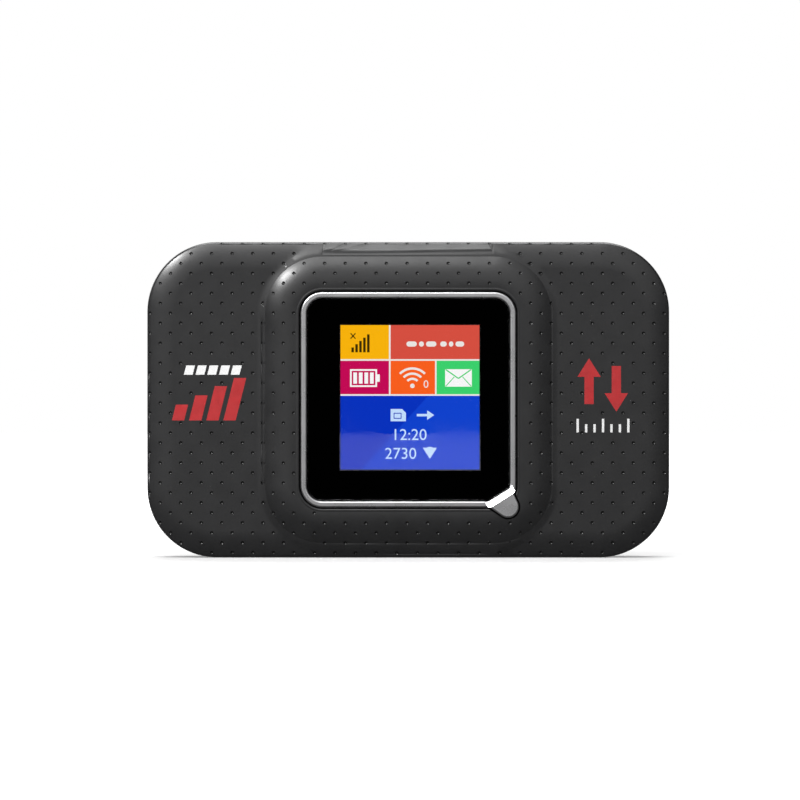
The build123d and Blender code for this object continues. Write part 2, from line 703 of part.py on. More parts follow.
def mid_frame():
    """Middle frame: side band, lips into both shells, floor, battery bay and card pocket."""
    frame = plate(outline(0), FRONT_SEAM_Y, REAR_SEAM_Y)
    frame = chamfer_seam(frame, 0)
    frame = chamfer_seam(frame, -1)
    frame += plate(outline(FRONT_WALL + LIP_GAP), FRONT_SEAM_Y - FRONT_LIP, FRONT_SEAM_Y)
    frame += plate(outline(COVER_WALL + LIP_GAP), REAR_SEAM_Y, REAR_SEAM_Y + REAR_LIP)
    inside = outline(FRAME_WALL)
    frame -= plate(inside, FRONT_SEAM_Y - FRONT_LIP, FLOOR_FRONT_Y)
    frame -= plate(inside, FLOOR_BACK_Y, REAR_SEAM_Y + REAR_LIP)
    for window in floor_windows():
        frame -= window
    for x, z in screw_places():
        frame -= plate(disc(x, z, SCREW_R + 0.2), FLOOR_FRONT_Y, FLOOR_BACK_Y)
    for notch in tab_blocks(TAB_GAP, (REAR_SEAM_Y, REAR_SEAM_Y + REAR_LIP)):
        frame -= notch
    frame -= key_hole("power")
    frame -= key_hole("pair")
    port_x = (BODY_W / 2 - FRAME_WALL - 0.5, BODY_W / 2 + 1)
    frame -= usb_prism(-USB_GAP, port_x)
    gap = SIM_FRAME_GAP
    pocket_x = (SIM_X[0] - gap - 0.8, SIM_X[1] + gap + 0.8)
    pocket = block(pocket_x, (SIM_POCKET_Y[0], FLOOR_FRONT_Y), (SIM_POCKET_Z - 0.8, SIM_Z[0] - gap))
    well_x = (SIM_X[0] - gap, SIM_X[1] + gap)
    well = block(well_x, (SIM_POCKET_Y[1], FLOOR_FRONT_Y), (SIM_POCKET_Z, SIM_Z[0] - gap))
    return frame + bay_walls() + (pocket - well)


def antenna(x, y, z, slots):
    """Thin patterned strip; the slots make its folded path."""
    strip = block(x, y, z)
    step = (z[1] - z[0]) / (slots + 1)
    for i in range(slots):
        cut_z = z[0] + step * (i + 1)
        start = x[0] + (1.6 if i % 2 else 0)
        end = x[1] - (0 if i % 2 else 1.6)
        strip -= block((start, end), y, (cut_z - 0.3, cut_z + 0.3))
    return strip


def main_antenna():
    """Strip on the left wall of the frame, folded along its height."""
    wall = -(BODY_W / 2 - FRAME_WALL)
    x = (wall + 0.03, wall + 0.18)
    strip = block(x, (-1.8, -0.2), (14.0, 44.0))
    for i in range(7):
        z = 17.0 + 4.0 * i
        low = (-1.8, -0.7) if i % 2 else (-1.3, -0.2)
        strip -= block(x, low, (z - 0.4, z + 0.4))
    return strip


def wifi_antenna():
    y = (CAVITY_Y, CAVITY_Y + 0.12)
    return antenna((-34.0, -24.0), y, (45.0, 54.5), 4)


def diversity_antenna():
    y = (CAVITY_Y, CAVITY_Y + 0.12)
    return antenna((-34.0, -24.0), y, (3.5, 14.0), 4)


def antenna_clips():
    """Spring clips on the front of the board that touch the antenna strips."""
    y = (CAVITY_Y + 0.12, BOARD_FRONT_Y)
    clips = []
    for x, z in ((-33.2, 46.2), (-33.2, 5.2), (-30.4, 46.2), (-30.4, 5.2)):
        foot = block((x - 0.7, x + 0.7), (BOARD_FRONT_Y - 0.2, BOARD_FRONT_Y), (z - 0.6, z + 0.6))
        arm = block((x - 0.2, x + 0.2), y, (z - 0.6, z + 0.6))
        clips.append(foot + arm)
    return clips


def board_parts():
    """Small parts on the front of the board, beside the display."""
    parts = []
    for side in (-1, 1):
        for row in range(5):
            for column in range(3):
                x = side * (26.0 + 3.6 * column)
                z = 18.0 + 5.2 * row
                y = (BOARD_FRONT_Y - 0.5, BOARD_FRONT_Y)
                parts.append(block((x - 0.8, x + 0.8), y, (z - 0.4, z + 0.4)))
    return parts


def info_label():
    y = (FLOOR_BACK_Y, FLOOR_BACK_Y + LABEL)
    return block((-35.0, -12.0), y, (12.0, 46.0))


def rear_cover():
    """Rear shell that pulls off backwards, with line-up tabs and a notch for a fingernail."""
    seam = REAR_SEAM_Y + SEAM_GAP
    shell = plate(outline(0), seam, BACK_Y)
    shell = fillet(shell.faces().sort_by(Axis.Y)[-1].edges(), BACK_ROLL_R)
    shell = chamfer_seam(shell, 0)
    shell -= plate(outline(COVER_WALL), seam, BACK_Y - COVER_WALL)
    limit = plate(outline(COVER_WALL - 0.4) - outline(TAB_INSET), seam, TAB_BACK_Y)
    for tab in tab_blocks(0, (seam, TAB_BACK_Y)):
        shell += tab & limit
    edge = -BODY_W / 2
    notch = block((edge - 1, edge + PRY_DEPTH), (seam, seam + PRY_H), (MID_Z - PRY_W / 2, MID_Z + PRY_W / 2))
    return shell - fillet(notch.edges().filter_by(Axis.X), PRY_H * 0.45)


def cover_foam_pad():
    return block(FOAM_X, (FOAM_FRONT_Y, BACK_Y - COVER_WALL), FOAM_Z)


def battery_cell():
    """Wrapped cell with rounded long edges."""
    cell = block((BATTERY_X[0], BATTERY_X[1] - BATTERY_CAP), BATTERY_Y, BATTERY_Z)
    return fillet(cell.edges().filter_by(Axis.X), BATTERY_EDGE_R)


def pad_blocks():
    half_y, half_z = PAD_SIZE[1] / 2, PAD_SIZE[0] / 2
    middle = 3.35
    x = (BATTERY_X[1] - PAD_DEPTH, BATTERY_X[1])
    return [
        block(x, (middle - half_y, middle + half_y), (MID_Z + z - half_z, MID_Z + z + half_z))
        for z in PAD_Z
    ]


def battery_end_cap():
    cap = block((BATTERY_X[1] - BATTERY_CAP, BATTERY_X[1]), BATTERY_Y, BATTERY_Z)
    cap = fillet(cap.edges().filter_by(Axis.X), BATTERY_EDGE_R)
    for pad in pad_blocks():
        cap -= pad
    return cap


def battery_label():
    y = (BATTERY_Y[1], BATTERY_Y[1] + LABEL)
    return block((BATTERY_X[0] + 3, BATTERY_X[1] - 6), y, (BATTERY_Z[0] + 3, BATTERY_Z[1] - 3))


def write(name, shape):
    """Writes one node; a list becomes a group of separate solids."""
    if isinstance(shape, list):
        solids = [Part(children=[s]) if isinstance(s, Compound) else s for s in shape]
        shape = Compound(children=solids)
    export_step(shape, f"parts/{name}.step")


NODES = {
    "front_housing": front_housing,
    "mid_frame": mid_frame,
    "rear_cover": rear_cover,
    "cover_foam_pad": cover_foam_pad,
    "bezel_ring": bezel_ring,
    "display_lens": display_lens,
    "lens_border_film": lens_border_film,
    "lens_adhesive": lens_adhesive,
    "lcd_gasket": lcd_gasket,
    "lcd_frame": lcd_frame,
    "lcd_glass": lcd_glass,
    "lcd_backlight": lcd_backlight,
    "lcd_flex": lcd_flex,
    "lcd_connector": lcd_connector,
    "main_board": main_board,
    "board_parts": board_parts,
    "board_screws": board_screws,
    "housing_screws": housing_screws,
    "baseband_shield": lambda: shield_can((-36.0, -14.0), (28.5, 50.0), 1.6),
    "rf_shield": lambda: shield_can((-36.0, -14.0), (8.5, 25.5), 1.6),
    "wifi_shield": lambda: shield_can((-9.0, 5.0), (39.5, 50.5), 1.5),
    "baseband_chip": lambda: chip(-28.5, 39.0, 11.0, 11.0, 1.1),
    "memory_chip": lambda: chip(-18.2, 39.0, 6.0, 8.0, 0.9),
    "radio_chip": lambda: chip(-29.0, 17.0, 7.0, 7.0, 0.9),
    "amplifier_chip": lambda: chip(-19.5, 17.0, 5.0, 4.0, 0.8),
    "wifi_chip": lambda: chip(-2.0, 45.0, 6.0, 6.0, 0.8),
    "charger_chip": lambda: chip(0.0, 12.0, 5.0, 5.0, 0.9),
    "sim_socket_shell": sim_socket_shell,
    "sim_socket_base": sim_socket_base,
    "sim_contacts": sim_contacts,
    "microsd_socket_shell": microsd_socket_shell,
    "microsd_contacts": microsd_contacts,
    "usb_shell": usb_shell,
    "usb_tongue": usb_tongue,
    "usb_contacts": usb_contacts,
    "battery_contact_block": battery_contact_block,
    "battery_springs": battery_springs,
    "power_switch": lambda: key_switch(POWER_X),
    "power_switch_plunger": lambda: key_plunger(POWER_X),
    "power_key": lambda: key_cap("power"),
    "pairing_switch": lambda: key_switch(PAIR_X),
    "pairing_switch_plunger": lambda: key_plunger(PAIR_X),
    "pairing_key": lambda: key_cap("pair"),
    "reset_switch": reset_switch,
    "reset_plunger": reset_plunger,
    "main_antenna": main_antenna,
    "wifi_antenna": wifi_antenna,
    "diversity_antenna": diversity_antenna,
    "antenna_clips": antenna_clips,
    "info_label": info_label,
    "battery_cell": battery_cell,
    "battery_end_cap": battery_end_cap,
    "battery_pads": pad_blocks,
    "battery_label": battery_label,
}

os.makedirs("parts", exist_ok=True)
for node, make in NODES.items():
    write(node, make())
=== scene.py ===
"""Looks of the pocket hotspot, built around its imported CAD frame.

Sizes in this script are millimetres unless a name says otherwise; meshes are written in metres.
X runs to the right of the display side, -Y comes out of the display and Z is up.
"""

import math

import bmesh
import bpy
import numpy as np
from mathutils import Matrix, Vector
from mathutils.geometry import delaunay_2d_cdt


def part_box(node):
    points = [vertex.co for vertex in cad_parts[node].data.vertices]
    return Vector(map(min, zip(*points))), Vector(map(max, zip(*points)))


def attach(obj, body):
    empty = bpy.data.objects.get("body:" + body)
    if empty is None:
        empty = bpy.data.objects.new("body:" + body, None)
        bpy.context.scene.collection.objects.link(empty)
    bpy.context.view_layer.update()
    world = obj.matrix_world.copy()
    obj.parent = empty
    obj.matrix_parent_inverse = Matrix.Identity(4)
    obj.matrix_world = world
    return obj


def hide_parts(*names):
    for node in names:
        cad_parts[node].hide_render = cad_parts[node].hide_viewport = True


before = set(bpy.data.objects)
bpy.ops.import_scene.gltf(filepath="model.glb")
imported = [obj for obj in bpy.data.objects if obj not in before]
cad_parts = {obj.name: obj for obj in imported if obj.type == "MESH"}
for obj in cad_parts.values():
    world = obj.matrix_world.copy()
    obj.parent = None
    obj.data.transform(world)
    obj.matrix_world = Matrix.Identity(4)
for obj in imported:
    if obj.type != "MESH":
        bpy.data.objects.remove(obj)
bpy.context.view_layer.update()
MM = 0.001


def node_box(node):
    """Lowest and highest corner of a CAD node, in millimetres."""
    low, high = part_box(node)
    return np.array(low) / MM, np.array(high) / MM


BODY_LOW, BODY_HIGH = node_box("mid_frame")
RING_LOW, RING_HIGH = node_box("bezel_ring")
HALF_W = BODY_HIGH[0]
HALF_H = (BODY_HIGH[2] - BODY_LOW[2]) / 2
MID_Z = (BODY_HIGH[2] + BODY_LOW[2]) / 2
RING_HALF = -RING_LOW[0]
RING_FRONT = RING_LOW[1]
SHELF = RING_HIGH[1]

# Casing, as in the CAD, but for a shallower dish beside the surround. The core is the part of the
# CAD housing that this skin is joined to, taken a little inside and behind the visible faces.
CORNER_R = 12.8
RING_R = 4.0
FACE = -5.65
FRONT_SEAM = -2.4
REAR_SEAM = 2.9
BACK = 7.5
BACK_ROLL = 2.5
CROWN_W = 5.0
CROWN_TILT = math.radians(24.0)
CROWN_R = CROWN_W / math.sin(CROWN_TILT)
EDGE_R = 0.7
DISH_TILT = math.radians(8.0)
RAMP_TILT = math.radians(28.8)
SHOULDER = 6.5
CREST = 1.7
DOME_R = SHOULDER / (math.sin(RAMP_TILT) + math.sin(DISH_TILT))
BLEND = 0.37
SKIN_PROUD = 0.01
SKIN_WALL = 0.6
CAVITY = -4.6
CORE_INSET = 0.3
CORE_OVERLAP = 0.05
EDGE_W = HALF_W + SKIN_PROUD
EDGE_H = HALF_H + SKIN_PROUD
ROLL_LOOPS = 13
CROWN_LOOPS = 10
LOOP_STEP = 0.85
DOME_REACH = 8.9

# Lip of the housing beside the surround
LIP_OUT = 0.5
LIP_WIDTH = 0.16
LIP_H = 0.07

# Dimples of the casing, on a staggered lattice
DIMPLE_STEP_X = 1.889
DIMPLE_STEP_Z = 1.832
DIMPLE_X = -0.23
DIMPLE_Z = 28.39
DIMPLE_R = 0.33
DIMPLE_DEPTH = 0.2
DIMPLE_SIDES = 12
DIMPLE_RINGS = 4
DIMPLE_PROUD = 0.12
DIMPLE_MARGIN = 0.3
DIMPLE_TO_LIP = 0.6
DIMPLE_TO_PRINT = 0.1
TAIL_R = 2.0
TAIL = (RING_HIGH[0] - TAIL_R, RING_LOW[2] + TAIL_R)
TAIL_CLEAR = 2.9

# Notch in the rear cover
PRY_W = 12.0
PRY_H = 1.1

# Small rounds on edges of CAD nodes that stay as they are
EDGE_ROUNDS = {
    "battery_cell": 0.25,
    "battery_end_cap": 0.15,
    "battery_contact_block": 0.08,
    "usb_shell": 0.05,
    "usb_tongue": 0.04,
}

# Height of a numeral as a share of its type size
FIGURE_SHARE = 0.73

# Corners of an outline, anticlockwise, each with the direction of the side that follows it
CORNERS = [((1, 1), (-1, 0)), ((-1, 1), (0, -1)), ((-1, -1), (1, 0)), ((1, -1), (0, 1))]


# Steps and tolerances of the skin's fields
FIELD_STEP = 1e-3
FIELD_PASSES = 25
LEAST_SLOPE = 0.15
SKIN_NEAR = 0.03
SKIN_AGREES = 0.9


# Mesh helpers


def link(name, mesh):
    piece = bpy.data.objects.new(name, mesh)
    bpy.context.scene.collection.objects.link(piece)
    return piece


def piece_from(name, points_mm, faces):
    """Object from points in millimetres and faces as lists of indices, with its normals outwards."""
    mesh = bpy.data.meshes.new(name)
    mesh.from_pydata((np.asarray(points_mm, float) * MM).tolist(), [], faces)
    builder = bmesh.new()
    builder.from_mesh(mesh)
    bmesh.ops.recalc_face_normals(builder, faces=builder.faces)
    builder.to_mesh(mesh)
    builder.free()
    return link(name, mesh)


def prism(name, outline_xz, y_front, y_back):
    """Closed solid of an outline drawn in X and Z, between two depths."""
    outline_xz = np.asarray(outline_xz, float)
    count = len(outline_xz)
    front = np.column_stack([outline_xz[:, 0], np.full(count, y_front), outline_xz[:, 1]])
    back = np.column_stack([outline_xz[:, 0], np.full(count, y_back), outline_xz[:, 1]])
    faces = [list(range(count)), list(range(2 * count - 1, count - 1, -1))]
    faces += [[i, (i + 1) % count, count + (i + 1) % count, count + i] for i in range(count)]
    return piece_from(name, np.vstack([front, back]), faces)


def evaluated(piece):
    """Mesh of a piece with its modifiers applied."""
    graph = bpy.context.evaluated_depsgraph_get()
    return bpy.data.meshes.new_from_object(piece.evaluated_get(graph))


def boolean(target, tool, operation):
    """Cuts or joins the tool into the target and removes the tool."""
    modifier = target.modifiers.new("boolean", "BOOLEAN")
    modifier.operation = operation
    modifier.object = tool
    modifier.solver = "MANIFOLD"
    mesh = evaluated(target)
    target.modifiers.clear()
    target.data = mesh
    bpy.data.objects.remove(tool)
    return target


def welded_copy(node, name):
    """Closed copy of a CAD node's mesh."""
    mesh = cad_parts[node].data.copy()
    mesh.materials.clear()
    builder = bmesh.new()
    builder.from_mesh(mesh)
    bmesh.ops.remove_doubles(builder, verts=builder.verts, dist=1e-6)
    builder.to_mesh(mesh)
    builder.free()
    return link(name, mesh)


# Shape of the casing


def rounded_distance(x, z, half_w, half_h, radius):
    """Distance outside a rounded rectangle centred on the body, negative inside it."""
    across = np.abs(x) - (half_w - radius)
    up = np.abs(z - MID_Z) - (half_h - radius)
    outside = np.hypot(np.maximum(across, 0), np.maximum(up, 0))
    return outside + np.minimum(np.maximum(across, up), 0) - radius


def body_distance(x, z):
    return rounded_distance(x, z, HALF_W, HALF_H, CORNER_R) - SKIN_PROUD


def ring_distance(x, z):
    return rounded_distance(x, z, RING_HALF, RING_HALF, RING_R)


def rounded_loop(half_w, half_h, radius, spacing):
    """Points along a rounded rectangle centred on the body, anticlockwise from the right side."""
    arc_steps = max(6, int(math.pi / 2 * CORNER_R / spacing))
    half = np.array([half_w - radius, half_h - radius])
    points = []
    for quarter, (sign, step) in enumerate(CORNERS):
        angles = quarter * math.pi / 2 + np.linspace(0, math.pi / 2, arc_steps + 1)
        arc = half * sign + radius * np.column_stack([np.cos(angles), np.sin(angles)])
        length = 2 * half[quarter % 2]
        count = max(2, round(length / spacing))
        points += [arc, arc[-1] + np.outer(np.arange(1, count) / count * length, step)]
    return np.vstack(points) + np.array([0, MID_Z])


def crown_profile(inset):
    """Drop below the flat face and tilt of the crowned edge, by the distance inside the body's outline."""
    tilt = np.arcsin(np.clip((CROWN_W - inset) / CROWN_R, 0, math.sin(CROWN_TILT)))
    beyond = np.maximum(-inset, 0) * math.tan(CROWN_TILT)
    return CROWN_R * (1 - np.cos(tilt)) + beyond, tilt


def dome_profile(out):
    """Height above the flat face and tilt of the dome, by the distance outside the surround.

    It is a dished shoulder and a straight ramp that runs out to the edge of the body.
    """
    tilt = np.arcsin(np.clip(out / DOME_R - math.sin(DISH_TILT), -0.3, math.sin(RAMP_TILT)))
    lip = LIP_H * np.exp(-(((out - LIP_OUT) / LIP_WIDTH) ** 2))
    height = CREST - DOME_R * (1 - np.cos(tilt)) + lip
    return height - np.maximum(out - SHOULDER, 0) * math.tan(RAMP_TILT), tilt


def rounded_join(first, second, radius):
    """Field of what lies inside two others, with a small round where they meet."""
    first, second = first + radius, second + radius
    corner = np.hypot(np.maximum(first, 0), np.maximum(second, 0))
    return corner + np.minimum(np.maximum(first, second), 0) - radius


def front_field(x, y, z):
    """Below zero inside the front of the casing: crowned edge and dome, with a soft join."""
    side = body_distance(x, z)
    drop, crown_tilt = crown_profile(-side)
    crown = (FACE - SKIN_PROUD + drop - y) * np.cos(crown_tilt)
    height, dome_tilt = dome_profile(ring_distance(x, z))
    dome = (FACE - SKIN_PROUD - height - y) * np.cos(dome_tilt)
    mix = np.maximum(BLEND - np.abs(crown - dome), 0) / BLEND
    top = np.minimum(crown, dome) - mix**2 * BLEND / 4
    return rounded_join(side, top, EDGE_R)


def back_field(x, y, z):
    """Below zero inside the back of the casing, a flat face with a rolled edge."""
    return rounded_join(body_distance(x, z), y - BACK - SKIN_PROUD, BACK_ROLL)


def gradient(field, points):
    """Outward normals of a field at its surface."""
    step = FIELD_STEP
    x, y, z = points.T
    normal = np.column_stack(
        [
            field(x + step, y, z) - field(x - step, y, z),
            field(x, y + step, z) - field(x, y - step, z),
            field(x, y, z + step) - field(x, y, z - step),
        ]
    )
    return normal / np.linalg.norm(normal, axis=1)[:, None]


def onto(field, points, directions):
    """Moves points along their directions until they lie on the surface of a field."""
    points = points.copy()
    for _ in range(FIELD_PASSES):
        here = field(*points.T)
        ahead = field(*(points + directions * FIELD_STEP).T)
        slope = np.maximum((ahead - here) / FIELD_STEP, LEAST_SLOPE)
        points -= directions * (here / slope)[:, None]
    return points


def back_edge():
    """Inset, depth and tilt of each loop round the rolled edge of the back."""
    tilts = np.radians(np.linspace(90, 0, ROLL_LOOPS))
    depths = BACK + SKIN_PROUD - BACK_ROLL * (1 - np.cos(tilts))
    return list(zip(BACK_ROLL * (1 - np.sin(tilts)), depths, tilts))


def front_edge():
    """Inset, depth and tilt of each loop round the front's edge: the small round, then the crown."""
    rim_y = FACE - SKIN_PROUD + CROWN_R * (1 - math.cos(CROWN_TILT))
    reach = EDGE_R * math.tan((math.pi / 2 - CROWN_TILT) / 2) + 0.3
    tilts = np.linspace(math.pi / 2, CROWN_TILT, ROLL_LOOPS)
    edge = list(zip(EDGE_R * (1 - np.sin(tilts)), rim_y + reach - EDGE_R * np.cos(tilts), tilts))
    insets = np.linspace(edge[-1][0] + 0.3, CROWN_W, CROWN_LOOPS)
    drops, tilts = crown_profile(insets)
    return edge + list(zip(insets, FACE - SKIN_PROUD + drops, tilts))


def edge_loops(steps, facing):
    """Start points and directions of the loops round an edge, from the side to the face."""
    points, directions = [], []
    for inset, depth, tilt in steps:
        loop = rounded_loop(EDGE_W - inset, EDGE_H - inset, CORNER_R - inset, LOOP_STEP)
        wider = rounded_loop(EDGE_W + 1 - inset, EDGE_H + 1 - inset, CORNER_R + 1 - inset, LOOP_STEP)
        sideways = (wider - loop) * math.sin(tilt)
        forward = np.full(len(loop), facing * math.cos(tilt))
        points.append(np.column_stack([loop[:, 0], np.full(len(loop), depth), loop[:, 1]]))
        directions.append(np.column_stack([sideways[:, 0], forward, sideways[:, 1]]))
    return points, directions


def dome_loops(edge_width):
    """Loops round the display surround, closest together at the lip."""
    lip = np.arange(0.17, 0.9, 0.07)
    shoulder = np.arange(1.0, DOME_REACH, 0.42)
    loops = []
    for out in np.concatenate([[-0.6], lip, shoulder]):
        loop = rounded_loop(RING_HALF + out, RING_HALF + out, RING_R + out, LOOP_STEP)
        loops.append(loop[body_distance(*loop.T) < -edge_width - 0.12])
    return loops


def face_grid(edge_width, with_dome):
    """Staggered grid over what the loops leave of the flat face."""
    across = np.arange(-HALF_W, HALF_W, LOOP_STEP)
    up = MID_Z + np.arange(-HALF_H, HALF_H, LOOP_STEP)
    grid_x, grid_z = np.meshgrid(across, up)
    grid_x = grid_x + LOOP_STEP / 2 * (np.arange(len(up)) % 2)[:, None]
    grid = np.column_stack([grid_x.ravel(), grid_z.ravel()])
    keep = body_distance(*grid.T) < -edge_width - 0.4
    if with_dome:
        keep &= ring_distance(*grid.T) > DOME_REACH
    return grid[keep]


def skin_block(name, field, face_y, edge, facing, seam_y, with_dome):
    """Closed block whose face is the detailed skin and whose far side is flat, at the seam."""
    points, directions = edge_loops(edge, facing)
    width = edge[-1][0]
    flat = np.vstack((dome_loops(width) if with_dome else []) + [face_grid(width, with_dome)])
    points.append(np.column_stack([flat[:, 0], np.full(len(flat), face_y), flat[:, 1]]))
    directions.append(np.tile([0.0, facing, 0.0], (len(flat), 1)))
    points = onto(field, np.vstack(points), np.vstack(directions))
    plan = [Vector((x, z)) for x, _, z in points]
    triangles = delaunay_2d_cdt(plan, [], [], 0, 1e-7)[2]
    builder = bmesh.new()
    verts = [builder.verts.new(p * MM) for p in points]
    for corners in triangles:
        builder.faces.new([verts[i] for i in corners])
    rim = [e for e in builder.edges if e.is_boundary]
    walls = bmesh.ops.extrude_edge_only(builder, edges=rim)["geom"]
    for part in walls:
        if isinstance(part, bmesh.types.BMVert):
            part.co.y = seam_y * MM
    bmesh.ops.holes_fill(builder, edges=[e for e in builder.edges if e.is_boundary], sides=0)
    bmesh.ops.recalc_face_normals(builder, faces=builder.faces)
    mesh = bpy.data.meshes.new(name)
    builder.to_mesh(mesh)
    builder.free()
    return link(name, mesh)


def shelf_outline():
    """Outline of the recess round the surround, read from the shelf it lies on, as points in X and Z."""
    builder = bmesh.new()
    builder.from_mesh(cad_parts["front_housing"].data)
    bmesh.ops.remove_doubles(builder, verts=builder.verts, dist=1e-6)
    shelf = [f for f in builder.faces if all(abs(v.co.y / MM - SHELF) < 1e-3 for v in f.verts)]
    inside = set(shelf)
    following = {}
    for face in shelf:
        for loop in face.loops:
            if sum(f in inside for f in loop.edge.link_faces) == 1:
                following[loop.vert.index] = (loop.link_loop_next.vert.index, loop.vert.co / MM)
    builder.verts.index_update()
    loops = []
    while following:
        at = next(iter(following))
        points = []
        while at in following:
            at, place = following.pop(at)
            points.append((place.x, place.z))
        loops.append(np.array(points))
    builder.free()
    return max(loops, key=lambda points: np.ptp(points[:, 0]))


def shrunk(loop, amount):
    """Closed loop moved towards its inside."""
    ahead = np.roll(loop, -1, axis=0) - np.roll(loop, 1, axis=0)
    ahead /= np.linalg.norm(ahead, axis=1)[:, None]
    sideways = np.column_stack([-ahead[:, 1], ahead[:, 0]])
    x, z = loop.T
    area = np.sum(x * np.roll(z, -1) - np.roll(x, -1) * z)
    return loop + sideways * amount * np.sign(area)


def dimple_places():
    """X and Z of every dimple of the staggered lattice that lies on the casing."""
    count_x = int(HALF_W / DIMPLE_STEP_X) + 2
    count_z = int(HALF_H / DIMPLE_STEP_Z) + 2
    places = [
        (DIMPLE_X + i * DIMPLE_STEP_X, DIMPLE_Z + j * DIMPLE_STEP_Z)
        for i in range(-count_x, count_x + 1)
        for j in range(-count_z, count_z + 1)
        if (i + j) % 2 == 0
    ]
    places = np.array(places)
    return places[body_distance(*places.T) < -DIMPLE_MARGIN]


def near_outline(places, outline, margin):
    """Which places lie inside an outline or within a margin of it."""
    start = np.asarray(outline, float)
    end = np.roll(start, -1, axis=0)
    along = end - start
    apart = places[:, None, :] - start
    share = np.clip(np.einsum("nkc,kc->nk", apart, along) / np.einsum("kc,kc->k", along, along), 0, 1)
    distance = np.linalg.norm(apart - share[:, :, None] * along, axis=2).min(axis=1)
    above = places[:, 1][:, None] < start[:, 1]
    crosses = above != (places[:, 1][:, None] < end[:, 1])
    rise = np.where(along[:, 1] == 0, 1.0, along[:, 1])
    meets_x = start[:, 0] + (places[:, 1][:, None] - start[:, 1]) / rise * along[:, 0]
    inside = np.sum(crosses & (places[:, 0][:, None] < meets_x), axis=1) % 2 == 1
    return inside | (distance < margin)


def front_dimple_places():
    """Places of the dimples of the front, clear of the surround, its tail and the printed marks."""
    places = dimple_places()
    from_tail = np.hypot(places[:, 0] - TAIL[0], places[:, 1] - TAIL[1])
    clear = (ring_distance(*places.T) > LIP_OUT + DIMPLE_TO_LIP) & (from_tail > TAIL_CLEAR)
    for outline in sum(PRINTS.values(), []):
        clear &= ~near_outline(places, outline, DIMPLE_R + DIMPLE_TO_PRINT)
    return places[clear]


def dimple_cutter(name, places, field, face_y, facing):
    """Ball-bottomed cutters, square to the surface, one for each dimple."""
    count = len(places)
    start = np.column_stack([places[:, 0], np.full(count, face_y), places[:, 1]])
    centre = onto(field, start, np.tile([0.0, facing, 0.0], (count, 1)))
    normal = gradient(field, centre)
    across = np.cross(normal, [0.0, 0.0, 1.0])
    across /= np.linalg.norm(across, axis=1)[:, None]
    along = np.cross(normal, across)
    ball = (DIMPLE_R**2 + DIMPLE_DEPTH**2) / (2 * DIMPLE_DEPTH)
    rings = np.linspace(0, math.acos(1 - (DIMPLE_DEPTH + DIMPLE_PROUD) / ball), DIMPLE_RINGS + 1)[1:]
    turns = np.arange(DIMPLE_SIDES) / DIMPLE_SIDES * 2 * math.pi
    local = [(0.0, 0.0, -DIMPLE_DEPTH)]
    for polar in rings:
        radius, height = ball * math.sin(polar), ball * (1 - math.cos(polar)) - DIMPLE_DEPTH
        local += [(radius * math.cos(turn), radius * math.sin(turn), height) for turn in turns]
    local = np.array(local)
    axes = np.stack([across, along, normal], axis=1)
    points = centre[:, None, :] + np.einsum("kc,ncd->nkd", local, axes)
    last = 1 + (DIMPLE_RINGS - 1) * DIMPLE_SIDES
    faces = []
    for i in range(DIMPLE_SIDES):
        after = (i + 1) % DIMPLE_SIDES
        faces.append([0, 1 + after, 1 + i])
        for ring in range(DIMPLE_RINGS - 1):
            low = 1 + ring * DIMPLE_SIDES
            high = low + DIMPLE_SIDES
            faces.append([low + i, low + after, high + after, high + i])
    faces.append([last + i for i in range(DIMPLE_SIDES)])
    every = [[corner + n * len(local) for corner in face] for n in range(count) for face in faces]
    return piece_from(name, points.reshape(-1, 3), every)


def with_slots(piece, materials, index=0):
    """Gives a piece its material slots and puts all its faces in one of them."""
    piece.data.materials.clear()
    for material in materials:
        piece.data.materials.append(material)
    piece.data.polygons.foreach_set("material_index", [index] * len(piece.data.polygons))
    return piece


def shade(piece, sharp=35.0):
    """Smooth shading with edges kept sharp above an angle."""
    mesh = piece.data
    mesh.polygons.foreach_set("use_smooth", [True] * len(mesh.polygons))
    mesh.set_sharp_from_angle(angle=math.radians(sharp))
    return piece


def shade_skin(piece, field):
    """Gives the skin the normals of its field, so that the cuts in it leave no ripples."""
    shade(piece)
    mesh = piece.data
    count = len(mesh.loops)
    normals = np.zeros(count * 3, np.float32)
    mesh.corner_normals.foreach_get("vector", normals)
    normals = normals.reshape(-1, 3)
    corners = np.zeros(count, np.int32)
    mesh.loops.foreach_get("vertex_index", corners)
    places = np.zeros(len(mesh.vertices) * 3, np.float32)
    mesh.vertices.foreach_get("co", places)
    places = places.reshape(-1, 3).astype(float) / MM
    exact = gradient(field, places)
    on_skin = np.abs(field(*places.T)) < SKIN_NEAR
    totals = np.zeros(len(mesh.polygons), np.int32)
    mesh.polygons.foreach_get("loop_total", totals)
    face_normals = np.zeros(len(mesh.polygons) * 3, np.float32)
    mesh.polygons.foreach_get("normal", face_normals)
    slots = np.zeros(len(mesh.polygons), np.int32)
    mesh.polygons.foreach_get("material_index", slots)
    face_of = np.repeat(np.arange(len(totals)), totals)
    towards = np.einsum("ij,ij->i", face_normals.reshape(-1, 3)[face_of], exact[corners])
    fits = on_skin[corners] & (towards > SKIN_AGREES) & (slots[face_of] == 0)
    normals[fits] = exact[corners][fits]
    mesh.normals_split_custom_set(normals.tolist())
    return piece


